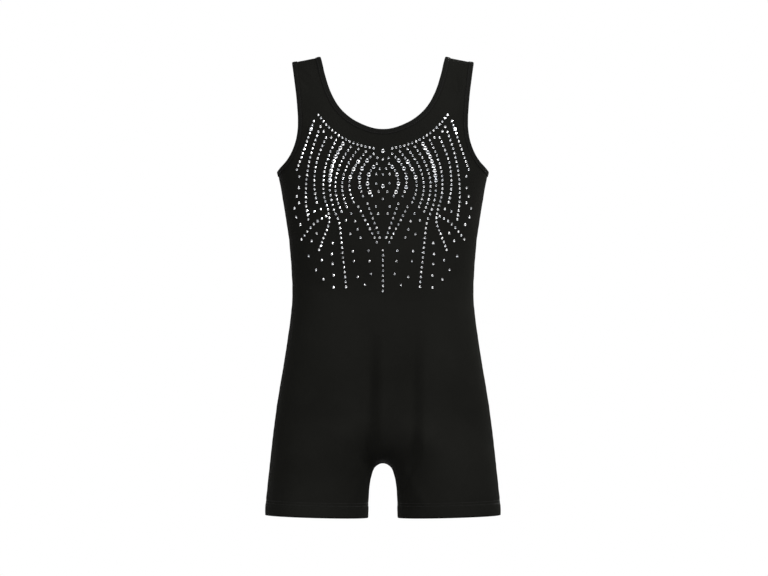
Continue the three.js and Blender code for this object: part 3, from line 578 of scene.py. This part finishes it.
# runs on the wearer's left, nested in a fan: how many evenly spaced stones, the
# control points, and which of the stones are large
RUNS = {
 "neck_row": (17, [[84, -70], [73, -83.5], [60, -95], [45, -104], [29, -110], [12, -114]], ()),
 "strap_row": (13, [[90, -78], [97, -99], [104.5, -120], [112, -141]], (2,)),
 "ring_outer": (28, [[61, -103], [69, -120], [75, -138], [77.5, -156.5], [76.5, -175.5], [71.5, -193.5], [70, -210.5], [76.5, -228.5], [83, -246]], ()),
 "ring": (31, [[52, -108], [62, -126.5], [68, -147], [69, -168.5], [65, -189.5], [57.5, -209], [54.5, -230.5], [52.5, -251.5], [50, -273], [48, -294]], (0, 1, 2, 3, 4, 5, 6, 7, 8)),
 "middle_run": (17, [[42, -112], [52, -127], [59, -143.5], [62, -161], [60, -179], [54, -196]], ()),
 "inner_run": (16, [[32, -115], [42, -128], [49, -142.5], [53, -158.5], [52, -174.5], [47, -190]], ()),
 "inner_curl": (14, [[22, -118], [31, -129.5], [38.5, -142], [43.5, -156], [43, -170.5], [38, -184]], (3, 5, 7)),
 "short_curl": (11, [[12, -121], [20.5, -130], [27, -140], [30.5, -152], [30, -164.5], [26, -176]], (2, 4, 6, 8)),
 "drop_curl": (9, [[8, -134], [14.5, -141], [18.5, -149], [20, -158.5], [18.5, -167.5], [14, -176]], (1, 3, 5, 7)),
 "outer_short": (16, [[74, -100], [81, -116], [86.5, -132.5], [89, -149.5], [89, -167], [86, -184]], ()),
 "outer_long": (21, [[84, -92], [91.5, -114], [97, -136.5], [100, -159.5], [100.5, -183], [97, -206]], ()),
 "side_tail": (8, [[74, -202], [86.5, -209.5], [97, -220], [106, -232]], ()),
 "v_outer": (9, [[32, -190], [20, -213], [8, -236]], ()),
 "v_inner": (8, [[20, -186], [12, -208], [4, -230]], ()),
}
CENTRE = [[0, -117.5, 1], [0, -128, 0], [0, -148, 0], [0, -163, 1], [0, -180, 0]]
CENTRE_DROP = (9, [[0, -246.5], [0, -260], [0, -275], [0, -290], [0, -299.5]])
MOTIF_X = 0.0
MOTIF_SCALE, MOTIF_Z = 0.9915, -295.6   # drawn full size, and set out at this scale about this level


def scatter(taken):
    """Loose stones between the runs on one half: never close to another stone, and
    further apart lower down."""
    rng, out = np.random.RandomState(11), []
    for _ in range(24000):
        x, z = rng.uniform(2.5, 118), rng.uniform(-296, -74)
        if x > np.interp(-z, [100, 141, 170, 205, 232, 262, 300], [86, 109, 114, 117, 108, 100, 70]):
            continue
        if z > np.interp(x, [0, 12, 40, 64, 84, 110], [-121, -121, -113, -97, -80, -118]):
            continue
        gap = np.interp(-z, [110, 200, 296], [6.6, 9.2, 15])
        q = np.array(taken + out)
        if 2 * x > gap and np.min(np.hypot(q[:, 0] - x, q[:, 1] - z)) > gap:
            out.append([x, z])
    return out


def spline(points, n):
    """n points at even spacing along a smooth curve through the control points."""
    p = np.asarray(points, float)
    if n == 1:
        return p[:1]
    q = np.r_[[2 * p[0] - p[1]], p, [2 * p[-1] - p[-2]]]
    out = []
    for i in range(1, len(q) - 2):
        t = np.linspace(0, 1, 40, endpoint=False)[:, None]
        a, b, c, d = q[i - 1], q[i], q[i + 1], q[i + 2]
        out.append(0.5 * ((2 * b) + (c - a) * t + (2 * a - 5 * b + 4 * c - d) * t ** 2 + (3 * b - a - 3 * c + d) * t ** 3))
    c = np.concatenate(out + [p[-1:]])
    s = np.r_[0, np.cumsum(np.linalg.norm(np.diff(c, axis=0), axis=1))]
    k = np.linspace(0, s[-1], n)
    return np.stack([np.interp(k, s, c[:, 0]), np.interp(k, s, c[:, 1])], 1)


def stones_object(name, spots, seed):
    """spots: [signed x, z, large]"""
    rng = np.random.RandomState(seed)
    s = np.asarray(spots, float)
    x, z = s[:, 0] * MOTIF_SCALE + MOTIF_X, MOTIF_Z + (s[:, 1] - MOTIF_Z) * MOTIF_SCALE
    P = on_body(np.abs(x), z, -1); N = normal(np.abs(x), z, -1)
    sg = np.where(x < 0, -1, 1)
    P[:, 0] *= sg; N[:, 0] *= sg
    b = folds(x, z, -1)
    h = 0.6
    dx = (folds(x + h, z, -1) - folds(x - h, z, -1)) / (2 * h); dz = (folds(x, z + h, -1) - folds(x, z - h, -1)) / (2 * h)
    N2 = unit(N - np.stack([dx, 0 * dx, dz], -1))
    parts = []
    for k in range(len(s)):
        r = (LARGE_R if s[k, 2] else SMALL_R) * rng.uniform(0.97, 1.03)
        up = unit(np.cross(N2[k], np.array([1.0, 0, 0])))
        parts.append(stone(P[k] + N[k] * (b[k] + 0.02), N2[k], up, r, 10 if s[k, 2] else 8, rng))
    return solid_many(name, parts, False)


# ------------------------------------------------------------------ leg rings
def leg_row(side, a):
    z0, z1 = HEM_IN[1] + a, HEM_OUT[1] + a
    p0, p1 = np.array([float(archW(z0)), z0]), np.array([float(sideW(z1)), z1])
    t = (1 - np.cos(np.pi * np.linspace(0, 1, 241))) / 2
    r = resample(p0[None] + (p1 - p0)[None] * t[:, None], side, COLS * 2)
    P, N = on_body(r[:, 0], r[:, 1], side), normal(r[:, 0], r[:, 1], side)
    for k in (0, -1):
        P[k, 1] = 0; N[k, 1] = 0
    return P, unit(N), r[:, 0], r[:, 1]


_rows = {}


def leg_at(a, b, hand, ripple=0.0):
    """A closed ring of points round one leg, a mm up from the hem and b above the cloth."""
    out, up = [], []
    for side in (-1, 1):
        key = (side, round(a, 3))
        if key not in _rows:
            _rows[key] = leg_row(side, a)
        P, N, X, Z = _rows[key]
        w = folds(X * hand, Z, side)
        if side > 0:                       # the seam ends share the front's height
            w[0], w[-1] = ends
        ends = (w[0], w[-1])
        r = ripple * n_rib(X / 4.0 + 9 * hand, a / 3.0 + side)
        p = (P + N * (b + w + r)[:, None]) * [hand, 1, 1]; n = N * [hand, 1, 1]
        if side < 0:
            out.append(p); up.append(n)
        else:
            out.append(p[-2:0:-1]); up.append(n[-2:0:-1])
    return np.concatenate(out), np.concatenate(up)


def leg_piece(name, hand, section, ripple=0.0):
    sec = np.stack([leg_at(a, b, hand, ripple * r)[0] for a, b, r in section], 1)
    K, S = sec.shape[:2]
    s = np.r_[0, np.cumsum(np.linalg.norm(np.diff(sec[:, 0], axis=0), axis=1))] / 1000
    acc = np.r_[0, np.cumsum([math.hypot(section[i + 1][0] - section[i][0], section[i + 1][1] - section[i][1]) for i in range(S - 1)])] / 1000
    uv = np.stack([np.repeat(s[:, None], S, 1), np.repeat(acc[None], K, 0)], -1).reshape(-1, 2)
    return loft(name, sec, True, uv)


HEM_SECTION = [(0.56, -0.02, 0), (0.30, -0.12, 0), (0.10, -0.45, 0), (0.0, -1.1, 0), (0.0, -2.0, 0), (0.14, -2.8, 0), (0.6, -3.2, 0), (1.6, -3.36, 0.3)]
HEM_SECTION += [(6, -3.4, 1), (11, -3.45, 1), (15, -3.3, 0.6), (16, -3.12, 0.2), (17.6, -3.34, 0.6), (19.6, -3.12, 0.2), (20.8, -3.3, 0.8), (21.4, -3.25, 0.8), (21.6, -2.95, 0.6), (21.4, -2.62, 0.3)]
HEM_SECTION += [(16, -2.5, 0), (9, -2.5, 0), (1.5, -2.5, 0), (0.85, -2.2, 0), (0.66, -1.6, 0), (0.58, -1.0, 0)]
ELASTIC_RING = [(2.6, -1.36, 0), (11, -1.36, 0), (19.6, -1.36, 0), (20, -1.6, 0), (19.9, -2.08, 0), (11, -2.12, 0), (2.6, -2.08, 0), (2.2, -1.7, 0)]
BAND_ELASTIC = [(1.9, -1.05, 0), (3.6, -1.02, 0), (5.3, -1.05, 0), (5.5, -1.35, 0), (5.3, -1.62, 0), (3.6, -1.65, 0), (1.9, -1.62, 0), (1.7, -1.35, 0)]


def hem_stitches(hand):
    parts = []
    for a in (16.0, 19.6):
        P, N = leg_at(a, 0.1, hand)
        parts += stitch_line(P, N, 2.9, 2.3, 0.19)
    P0, N0 = leg_at(16.0, -3.22, hand); P1, N1 = leg_at(19.6, -3.22, hand)
    s = np.r_[0, np.cumsum(np.linalg.norm(np.diff(P0, axis=0), axis=1))]
    n = int(s[-1] / 1.75); q = np.linspace(0, s[-1], n)
    f = lambda P: np.stack([np.interp(q, s, P[:, k]) for k in range(3)], 1)
    A, B, N = f(P0), f(P1), unit(f(N0))
    for k in range(n - 1):            # the looper thread, inside the hem
        p, r = (A[k], B[k + 1]) if k % 2 == 0 else (B[k], A[k + 1])
        parts.append(capsule(p - N[k] * 0.12, r - N[k] * 0.12, -N[k], 0.15))
    return parts


def seam_fin(name, P, N, w, top, low, hand, thread_every=2.2):
    """A seam allowance with its two raw edges, and the overlock thread round them."""
    top = np.broadcast_to(np.asarray(top, float), (len(P),))
    a, b = P + N * (top + w)[:, None], P + N * (low + w)[:, None]
    prof = [(0.0, -0.72), (0.35, -0.80), (0.85, -0.78), (0.985, -0.55), (1.0, -0.22), (0.965, -0.06), (0.965, 0.06), (1.0, 0.22), (0.985, 0.55), (0.85, 0.78), (0.35, 0.80), (0.0, 0.72)]
    s = np.r_[0, np.cumsum(np.linalg.norm(np.diff(P, axis=0), axis=1))]
    wav = 0.16 * np.sin(s / 2.6) + 0.3 * n_mid(s / 14, hand * 3.0)
    sec = np.stack([(a * (1 - t) + b * t) + np.stack([0 * s, y + wav * t, 0 * s], 1) for t, y in prof], 1)
    sec = sec * [hand, 1, 1]
    uv = np.stack([np.repeat(s[:, None] / 1000, len(prof), 1), np.repeat(np.array([t * 5 / 1000 for t, _ in prof])[None], len(s), 0)], -1).reshape(-1, 2)
    body = loft(name, sec, False, uv)
    n = max(2, int(s[-1] / thread_every)); q = np.linspace(0, s[-1], n)
    g = lambda v: np.stack([np.interp(q, s, v[:, k]) for k in range(3)], 1)
    A, B, V = g(a), g(b), np.interp(q, s, wav)
    parts = []
    for k in range(n - 1):
        inn = A[k] * 0.42 + B[k] * 0.58; nxt = A[k + 1] * 0.42 + B[k + 1] * 0.58
        tip = (B[k] + B[k + 1]) / 2; out = unit(B[k] - A[k])
        for sg in (-1, 1):
            off = lambda p, t, y=0.86: (p + np.array([0, sg * y + V[k] * t, 0])) * [hand, 1, 1]
            up = np.array([0.0, sg, 0])
            parts.append(capsule(off(inn, 0.6), off(tip, 1, 0.72), up, 0.13))
            parts.append(capsule(off(tip, 1, 0.72), off(nxt, 0.6), up, 0.13))
        e0 = (tip + out * 0.16 + np.array([0, -0.6 + V[k], 0])) * [hand, 1, 1]; e1 = (tip + out * 0.16 + np.array([0, 0.6 + V[k], 0])) * [hand, 1, 1]
        parts.append(capsule(e0, e1, out * [hand, 1, 1], 0.14))
    thread_obj = solid_many(name + "_overlock", parts, True)
    return body, thread_obj


def label_piece(name, origin, across, down, w, h, curl, seed):
    """A small woven label: a thin plate with a woven edge, slightly curled at its free end."""
    nu, nv = 44, 34
    out = unit(np.cross(across, down)); u = np.linspace(-0.5, 0.5, nu + 1); v = np.linspace(0, 1, nv + 1)
    Ug, Vg = np.meshgrid(u, v)
    r = 1.0                                      # corner radius, mm
    dx = np.maximum(0, np.abs(Ug) * w - (w / 2 - r)); dz = np.maximum(0, np.abs(Vg - 0.5) * h - (h / 2 - r))
    pull = np.maximum(0, np.hypot(dx, dz) - r) * 0.7
    X = Ug * w - np.sign(Ug) * pull * (dx > 0) * 0.7; Z = Vg * h - np.sign(Vg - 0.5) * pull * (dz > 0) * 0.7
    lift = curl * Vg ** 1.7 + 0.22 * curl * (2 * Ug) ** 2 * Vg + 0.08 * n_mid(Ug * 4 + seed, Vg * 3)
    rim = np.exp(-((np.minimum(w / 2 - np.abs(X), 99)) / 0.8) ** 2) + np.exp(-((h - Z) / 0.8) ** 2)
    top = origin + X[..., None] * across + Z[..., None] * down + (lift + 0.14 + 0.05 * rim)[..., None] * out
    bot = origin + X[..., None] * across + Z[..., None] * down + (lift - 0.14 - 0.05 * rim)[..., None] * out
    n = (nu + 1) * (nv + 1); idx = np.arange(n).reshape(nv + 1, nu + 1)
    q = np.stack([idx[:-1, :-1], idx[:-1, 1:], idx[1:, 1:], idx[1:, :-1]], -1).reshape(-1, 4)
    ring = np.r_[idx[0, :], idx[1:, -1], idx[-1, -2::-1], idx[-2:0:-1, 0]]
    side = [[ring[k], ring[k - 1], ring[k - 1] + n, ring[k] + n] for k in range(len(ring))]
    faces = q.tolist() + (q[:, ::-1] + n).tolist() + [[int(c) for c in f] for f in side]
    uv = np.stack([(Ug * w) / 1000, (Vg * h) / 1000], -1).reshape(-1, 2)
    o = mesh_object(name, np.concatenate([top.reshape(-1, 3), bot.reshape(-1, 3)]), faces, np.concatenate([uv, uv]))
    return o


# ------------------------------------------------------------------ materials
def material(name, colour, rough, spec=0.5, metal=0.0, sheen=0.0, sheen_rough=0.4, sheen_tint=(1, 1, 1)):
    m = bpy.data.materials.new(name); m.use_nodes = True
    nt = m.node_tree; b = nt.nodes["Principled BSDF"]
    b.inputs["Base Color"].default_value = (*colour, 1)
    b.inputs["Roughness"].default_value = rough
    b.inputs["Specular IOR Level"].default_value = spec
    b.inputs["Metallic"].default_value = metal
    b.inputs["Sheen Weight"].default_value = sheen
    b.inputs["Sheen Roughness"].default_value = sheen_rough
    b.inputs["Sheen Tint"].default_value = (*sheen_tint, 1)
    return m, nt, b


def op(nt, kind, a, b=None, c=None):
    n = nt.nodes.new("ShaderNodeMath"); n.operation = kind
    for i, v in enumerate((a, b, c)):
        if v is None:
            continue
        if isinstance(v, (int, float)):
            n.inputs[i].default_value = v
        else:
            nt.links.new(v, n.inputs[i])
    return n.outputs[0]


def uv_split(nt):
    t = nt.nodes.new("ShaderNodeUVMap"); t.uv_map = "UVMap"
    s = nt.nodes.new("ShaderNodeSeparateXYZ"); nt.links.new(t.outputs[0], s.inputs[0])
    return t.outputs[0], s.outputs[0], s.outputs[1]


def coords(nt):
    return nt.nodes.new("ShaderNodeTexCoord").outputs["Object"]


def noise(nt, vec, scale, detail=3.0, rough=0.5):
    n = nt.nodes.new("ShaderNodeTexNoise"); n.inputs["Scale"].default_value = scale
    n.inputs["Detail"].default_value = detail; n.inputs["Roughness"].default_value = rough
    nt.links.new(vec, n.inputs["Vector"])
    return n.outputs["Fac"]


def ramp(nt, fac, stops):
    r = nt.nodes.new("ShaderNodeValToRGB"); e = r.color_ramp.elements
    while len(e) < len(stops):
        e.new(0.5)
    for i, (p, col) in enumerate(stops):
        e[i].position = p; e[i].color = (*col, 1)
    nt.links.new(fac, r.inputs[0])
    return r.outputs[0]


def span(nt, fac, lo, hi, a, b):
    n = nt.nodes.new("ShaderNodeMapRange")
    for i, v in enumerate((lo, hi, a, b)):
        n.inputs[i + 1].default_value = v
    nt.links.new(fac, n.inputs[0])
    return n.outputs[0]


def bump(nt, bsdf, height, strength, distance):
    n = nt.nodes.new("ShaderNodeBump"); n.inputs["Strength"].default_value = strength
    n.inputs["Distance"].default_value = distance
    nt.links.new(height, n.inputs["Height"]); nt.links.new(n.outputs[0], bsdf.inputs["Normal"])


def knit_pattern(nt, pu, pv):
    """Jersey knit: columns of small V-shaped loops. Height 0 to 1."""
    _, u, v = uv_split(nt)
    su = op(nt, "FRACT", op(nt, "DIVIDE", u, pu))
    tri = op(nt, "ABSOLUTE", op(nt, "SUBTRACT", su, 0.5))
    row = op(nt, "SINE", op(nt, "MULTIPLY", op(nt, "ADD", op(nt, "DIVIDE", v, pv), op(nt, "MULTIPLY", tri, 1.1)), 2 * math.pi))
    wale = op(nt, "SINE", op(nt, "MULTIPLY", su, math.pi))
    return op(nt, "ADD", op(nt, "MULTIPLY", wale, 0.62), op(nt, "MULTIPLY", op(nt, "ADD", row, 1.0), 0.19))


def knit_material(name, dark, light, pu=0.00052, pv=0.00042, strength=0.35, rough=(0.52, 0.66), spec=0.5, sheen=0.0):
    m, nt, b = material(name, dark, 0.6, spec, 0.0, sheen, 0.35, (0.85, 0.85, 0.9))
    b.inputs["IOR"].default_value = 1.02
    h = knit_pattern(nt, pu, pv); c = coords(nt)
    broad, fine = noise(nt, c, 9.0, 4.0, 0.55), noise(nt, c, 900.0, 2.0, 0.6)
    f = op(nt, "ADD", op(nt, "MULTIPLY", broad, 0.62), op(nt, "ADD", op(nt, "MULTIPLY", fine, 0.2), op(nt, "MULTIPLY", h, 0.26)))
    nt.links.new(ramp(nt, f, [(0.30, dark), (0.78, light)]), b.inputs["Base Color"])
    nt.links.new(span(nt, op(nt, "ADD", broad, op(nt, "MULTIPLY", fine, 0.4)), 0.4, 0.9, rough[0], rough[1]), b.inputs["Roughness"])
    bump(nt, b, op(nt, "ADD", h, op(nt, "MULTIPLY", fine, 0.35)), strength, 0.00018)
    return m


KNIT = knit_material("stretch_knit", (0.0043, 0.0043, 0.0038), (0.0074, 0.0074, 0.0066))
BIND = knit_material("folded_knit_binding", (0.0042, 0.0042, 0.0039), (0.0073, 0.0073, 0.0067), 0.00048, 0.0004, 0.4)
LININGM = knit_material("lining_mesh", (0.010, 0.010, 0.0105), (0.019, 0.0185, 0.0185), 0.0009, 0.0008, 0.6, (0.7, 0.85), 0.5, 0.02)

ELASTIC, nt, b = material("braided_elastic", (0.62, 0.61, 0.57), 0.7, 0.3, 0, 0.2)
uvv, u, v = uv_split(nt)
rib = op(nt, "SINE", op(nt, "MULTIPLY", op(nt, "DIVIDE", v, 0.0011), 2 * math.pi)); wig = op(nt, "SINE", op(nt, "MULTIPLY", op(nt, "ADD", op(nt, "DIVIDE", u, 0.0011), op(nt, "MULTIPLY", rib, 0.2)), 2 * math.pi))
hh = op(nt, "MULTIPLY", op(nt, "ADD", op(nt, "ADD", rib, wig), 2.0), 0.25)
nt.links.new(ramp(nt, hh, [(0.1, (0.42, 0.41, 0.38)), (0.8, (0.68, 0.67, 0.63))]), b.inputs["Base Color"])
bump(nt, b, hh, 0.5, 0.0002)

THREAD, nt, b = material("sewing_thread", (0.006, 0.006, 0.006), 0.55, 0.12)
c = coords(nt); tw = noise(nt, c, 2600.0, 2.0, 0.6)
nt.links.new(ramp(nt, tw, [(0.3, (0.0045, 0.0044, 0.0042)), (0.7, (0.009, 0.0088, 0.0084))]), b.inputs["Base Color"])
bump(nt, b, tw, 0.5, 0.00012)

LABEL, nt, b = material("satin_label", (0.78, 0.78, 0.76), 0.42, 0.4, 0, 0.15)
uvv, u, v = uv_split(nt)
wa = op(nt, "SINE", op(nt, "MULTIPLY", op(nt, "DIVIDE", u, 0.00022), 2 * math.pi)); we = op(nt, "SINE", op(nt, "MULTIPLY", op(nt, "ADD", op(nt, "DIVIDE", v, 0.0004), op(nt, "DIVIDE", u, 0.0009)), 2 * math.pi))
hh = op(nt, "MULTIPLY", op(nt, "ADD", op(nt, "ADD", wa, we), 2.0), 0.25); c = coords(nt)
mixed = op(nt, "ADD", op(nt, "MULTIPLY", hh, 0.5), op(nt, "MULTIPLY", noise(nt, c, 260.0, 3.0), 0.5))
nt.links.new(ramp(nt, mixed, [(0.2, (0.66, 0.655, 0.63)), (0.8, (0.84, 0.835, 0.82))]), b.inputs["Base Color"])
bump(nt, b, hh, 0.3, 0.0001)

CRYSTAL, nt, b = material("cut_crystal", (0.85, 0.87, 0.9), 0.08, 0.5, 1.0)
g = nt.nodes.new("ShaderNodeNewGeometry")
nt.links.new(ramp(nt, g.outputs["Random Per Island"], [(0.0, (0.52, 0.54, 0.57)), (0.5, (0.80, 0.81, 0.83)), (1.0, (0.98, 0.98, 0.98))]), b.inputs["Base Color"])
c = coords(nt)
nt.links.new(span(nt, noise(nt, c, 700.0, 2.0), 0.3, 0.7, 0.05, 0.13), b.inputs["Roughness"])


def finish_piece(o, mat, nodes=(), body="garment"):
    o.data.materials.clear(); o.data.materials.append(mat)
    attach(o, body)
    if nodes:
        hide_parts(*nodes)
    return o


# ------------------------------------------------------------------- assembly
FIRST_IN = -(FABRIC + GAP)
front = finish_piece(cloth_piece("front_panel_cloth", (-1,)), KNIT, ["front_panel"])
back = finish_piece(cloth_piece("back_panel_cloth", (1,)), KNIT, ["back_panel"])
front_lining = finish_piece(cloth_piece("front_lining_cloth", (-1,), j0=JN - 4 * F, outer=FIRST_IN, inner=FIRST_IN - LINING, gap=0.12, grid=LINING_GRID), LININGM, ["front_lining"])
gusset = finish_piece(cloth_piece("crotch_lining_cloth", (-1, 1), i1=2 * F, j0=JC - F, j1=JC + 3 * F, joined=True, outer=FIRST_IN, inner=FIRST_IN - LINING), LININGM, ["crotch_lining"])

neck = finish_piece(band_piece("neck_binding_cloth", neck_band, rounded_channel(), 0.11, 1), BIND, ["neck_binding"])
finish_piece(band_piece("neck_elastic_band", neck_band, BAND_ELASTIC, 0.0), ELASTIC, ["neck_elastic"])
P = neck_band.at(5.45, 0.72)
finish_piece(solid_many("neck_topstitch_thread", stitch_line(P, neck_band.up(5.45)), True), THREAD, ["neck_topstitch"])
w_side = {}
for word, hand in (("left", LEFT), ("right", RIGHT)):
    band = arm_band[hand]
    finish_piece(band_piece(word + "_armhole_binding_cloth", band, rounded_channel(), 0.11, 5 + hand), BIND, [word + "_armhole_binding"])
    finish_piece(band_piece(word + "_armhole_elastic_band", band, BAND_ELASTIC, 0.0), ELASTIC, [word + "_armhole_elastic"])
    P = band.at(5.45, 0.72)
    finish_piece(solid_many(word + "_armhole_topstitch_thread", stitch_line(P, band.up(5.45)), True), THREAD, [word + "_armhole_topstitch"])
    finish_piece(leg_piece(word + "_leg_hem_cloth", hand, HEM_SECTION, 0.12), KNIT, [word + "_leg_hem"])
    finish_piece(leg_piece(word + "_leg_elastic_band", hand, ELASTIC_RING), ELASTIC, [word + "_leg_elastic"])
    finish_piece(solid_many(word + "_hem_stitch_thread", hem_stitches(hand), True), THREAD, [word + "_hem_stitch"])
    G = GRID[-1]
    for what, P, N, top, low, X, Z in (
        ("side_seam", G["P"][JH:JN - 2, -1], G["N"][JH:JN - 2, -1], None, -6.2, None, None),
        ("inseam", G["P"][JH + 1:JH + 2 * F, 0], G["N"][JH + 1:JH + 2 * F, 0], -1.4, -6.2, None, None),
        ("shoulder_seam", G["P"][JT, 2:-2], G["N"][JT, 2:-2], -2.35, -5.2, None, None),
    ):
        X, Z = P[:, 0], P[:, 2]
        w = (folds(X * hand, Z, -1) + folds(X * hand, Z, 1)) / 2
        if top is None:
            top = -1.35 - 0.95 * smooth((Z + 266) / 6)
        a, t = seam_fin(word + "_" + what + "_allowance", P, N, w, top, low, hand)
        finish_piece(a, KNIT, [word + "_" + what])
        finish_piece(t, THREAD)

# crystals: one object for each run, and the loose stones of each half
for k, (run, (count, pts, large)) in enumerate(RUNS.items()):
    for word, hand in (("left", LEFT), ("right", RIGHT)):
        spots = [[x * hand, z, i in large] for i, (x, z) in enumerate(spline(pts, count))]
        finish_piece(stones_object("stones_" + run + "_" + word, spots, 100 + 2 * k + (hand < 0)), CRYSTAL, ["crystals_" + run + "_" + word])
finish_piece(stones_object("stones_centre_drop", [[x, z, 0] for x, z in spline(CENTRE_DROP[1], CENTRE_DROP[0])], 71), CRYSTAL, ["crystals_centre_drop"])
finish_piece(stones_object("stones_centre_line", CENTRE, 72), CRYSTAL)
half = [list(v) for count, pts, _ in RUNS.values() for v in spline(pts, count)]
LOOSE = scatter(half + [[x, z] for x, z, _ in CENTRE] + [list(v) for v in spline(CENTRE_DROP[1], CENTRE_DROP[0])])
for word, hand in (("left", LEFT), ("right", RIGHT)):
    finish_piece(stones_object("stones_scattered_" + word, [[x * hand, z, 0] for x, z in LOOSE], 90 + (hand < 0)), CRYSTAL)

# labels, each on its own body
lo, hi = (np.array(v) * 1000 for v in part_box("neck_label"))
nl = label_piece("neck_label_woven", np.array([0, (lo[1] + hi[1]) / 2, hi[2]]), np.array([1.0, 0, 0]), np.array([0, 0, -1.0]), 30, 18, -0.9, 2)
finish_piece(nl, LABEL, ["neck_label"], "neck_label")
lo2, hi2 = (np.array(v) * 1000 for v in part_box("care_label"))
cl = label_piece("care_label_woven", np.array([hi2[0], 0, (lo2[2] + hi2[2]) / 2]), np.array([0, 0, 1.0]), np.array([-1.0, 0, 0]), 30, 22, 1.0, 6)
finish_piece(cl, LABEL, ["care_label"], "care_label")
P = np.stack([np.linspace(-13.5, 13.5, 40), np.full(40, lo[1] - 0.02), np.full(40, hi[2] - 1.0)], 1)
finish_piece(solid_many("neck_label_stitches", stitch_line(P, np.tile([0, -1.0, 0], (40, 1)), 2.6, 2.1, 0.16, closed=False), True), THREAD)


def cloth_area(o):
    me = o.data
    a = np.zeros(len(me.polygons)); me.polygons.foreach_get("area", a)
    return float(a.sum()) / 2


SHEETS = {}
def declare(o, flat, area=None):
    SHEETS[o.name] = (flat, cloth_area(o), area)


# --------------------------------------------------------------- floor, lights
floor = mesh_object("floor", [[-5000, -5000, -1000], [5000, -5000, -1000], [5000, 5000, -1000], [-5000, 5000, -1000]], [[0, 1, 2, 3]])
fm, nt, b = material("pale_floor", (0.86, 0.86, 0.86), 0.9, 0.1)
far = nt.nodes.new("ShaderNodeVectorMath"); far.operation = "LENGTH"; nt.links.new(coords(nt), far.inputs[0])
clear = nt.nodes.new("ShaderNodeBsdfTransparent"); fade = nt.nodes.new("ShaderNodeMixShader")
nt.links.new(span(nt, far.outputs["Value"], 1.2, 3.6, 0.0, 1.0), fade.inputs[0])
nt.links.new(b.outputs[0], fade.inputs[1]); nt.links.new(clear.outputs[0], fade.inputs[2])
nt.links.new(fade.outputs[0], nt.nodes["Material Output"].inputs[0])
floor.data.materials.append(fm)
floor.visible_diffuse = False      # the backdrop doesn't light the cloth from below

world = bpy.data.worlds.new("studio"); bpy.context.scene.world = world; world.use_nodes = True
nt = world.node_tree; nt.nodes.clear()
out = nt.nodes.new("ShaderNodeOutputWorld"); mix = nt.nodes.new("ShaderNodeMixShader")
lp = nt.nodes.new("ShaderNodeLightPath"); seen = nt.nodes.new("ShaderNodeBackground"); lit = nt.nodes.new("ShaderNodeBackground")
seen.inputs[0].default_value = (1, 1, 1, 1); seen.inputs[1].default_value = 1.0
tc = nt.nodes.new("ShaderNodeTexCoord"); sp = nt.nodes.new("ShaderNodeSeparateXYZ"); nt.links.new(tc.outputs["Generated"], sp.inputs[0])
front_back = span(nt, op(nt, "ABSOLUTE", sp.outputs[1]), 0.70, 0.96, 1.0, 0.10)
aside = span(nt, op(nt, "ABSOLUTE", sp.outputs[0]), 0.5, 1.0, 1.0, 0.32)
height = span(nt, sp.outputs[2], -1.0, 1.0, 0.5, 1.0)
level = op(nt, "MULTIPLY", op(nt, "MULTIPLY", front_back, aside), op(nt, "MULTIPLY", height, 0.85))
below = op(nt, "MULTIPLY", span(nt, sp.outputs[2], -1.0, -0.05, 3.4, 0.0), lp.outputs["Is Diffuse Ray"])
nt.links.new(ramp(nt, level, [(0.0, (0, 0, 0)), (1.0, (1, 1, 1))]), lit.inputs[0]); lit.inputs[1].default_value = 0.78
nt.links.new(op(nt, "MULTIPLY", span(nt, lp.outputs["Is Diffuse Ray"], 0.0, 1.0, 0.68, 0.42), op(nt, "ADD", below, 1.0)), lit.inputs[1])
nt.links.new(lp.outputs["Is Camera Ray"], mix.inputs[0]); nt.links.new(lit.outputs[0], mix.inputs[1]); nt.links.new(seen.outputs[0], mix.inputs[2])
nt.links.new(mix.outputs[0], out.inputs[0])


def softbox(name, loc, target, size, power, mirrored=True):
    d = bpy.data.lights.new(name, "AREA"); d.shape = "RECTANGLE"; d.size, d.size_y = size; d.energy = power
    o = bpy.data.objects.new(name, d); bpy.context.scene.collection.objects.link(o)
    o.location = loc
    o.rotation_euler = (Vector(target) - Vector(loc)).to_track_quat("-Z", "Y").to_euler()
    o.visible_camera = False
    o.visible_glossy = mirrored


MIDDLE = (0, 0, -0.30)
softbox("key", (2.3, -2.2, 1.4), MIDDLE, (1.0, 1.5), 175)
softbox("fill", (-2.35, -2.3, 0.3), MIDDLE, (1.2, 1.8), 87, False)
softbox("low_front", (0.5, -1.6, -0.9), (0, 0, -0.52), (0.9, 0.3), 11, False)
softbox("top", (0.0, -0.4, 2.4), MIDDLE, (2.2, 1.4), 30)
softbox("left_side", (-3.2, 0.2, 0.5), MIDDLE, (1.2, 1.8), 20, False)
softbox("right_edge", (0.62, 0.36, 0.04), (0.1, 0, -0.15), (0.2, 0.2), 10, False)
softbox("rear_left", (1.7, 2.8, 1.4), MIDDLE, (0.9, 1.3), 230)
softbox("rear_right", (-1.8, 2.7, 0.2), MIDDLE, (1.2, 1.8), 36)
scene = bpy.context.scene
scene.view_settings.view_transform = "Standard"
scene.view_settings.look = "None"

declare(front, (0.415, 0.63), 0.169)
declare(back, (0.415, 0.63), 0.163)
declare(front_lining, (0.31, 0.29), 0.0545)
declare(gusset, (0.09, 0.16), 0.0135)
declare(nl, (0.030, 0.018))
declare(cl, (0.030, 0.022))
for k, v in SHEETS.items():
    print("SHEET", k, v)
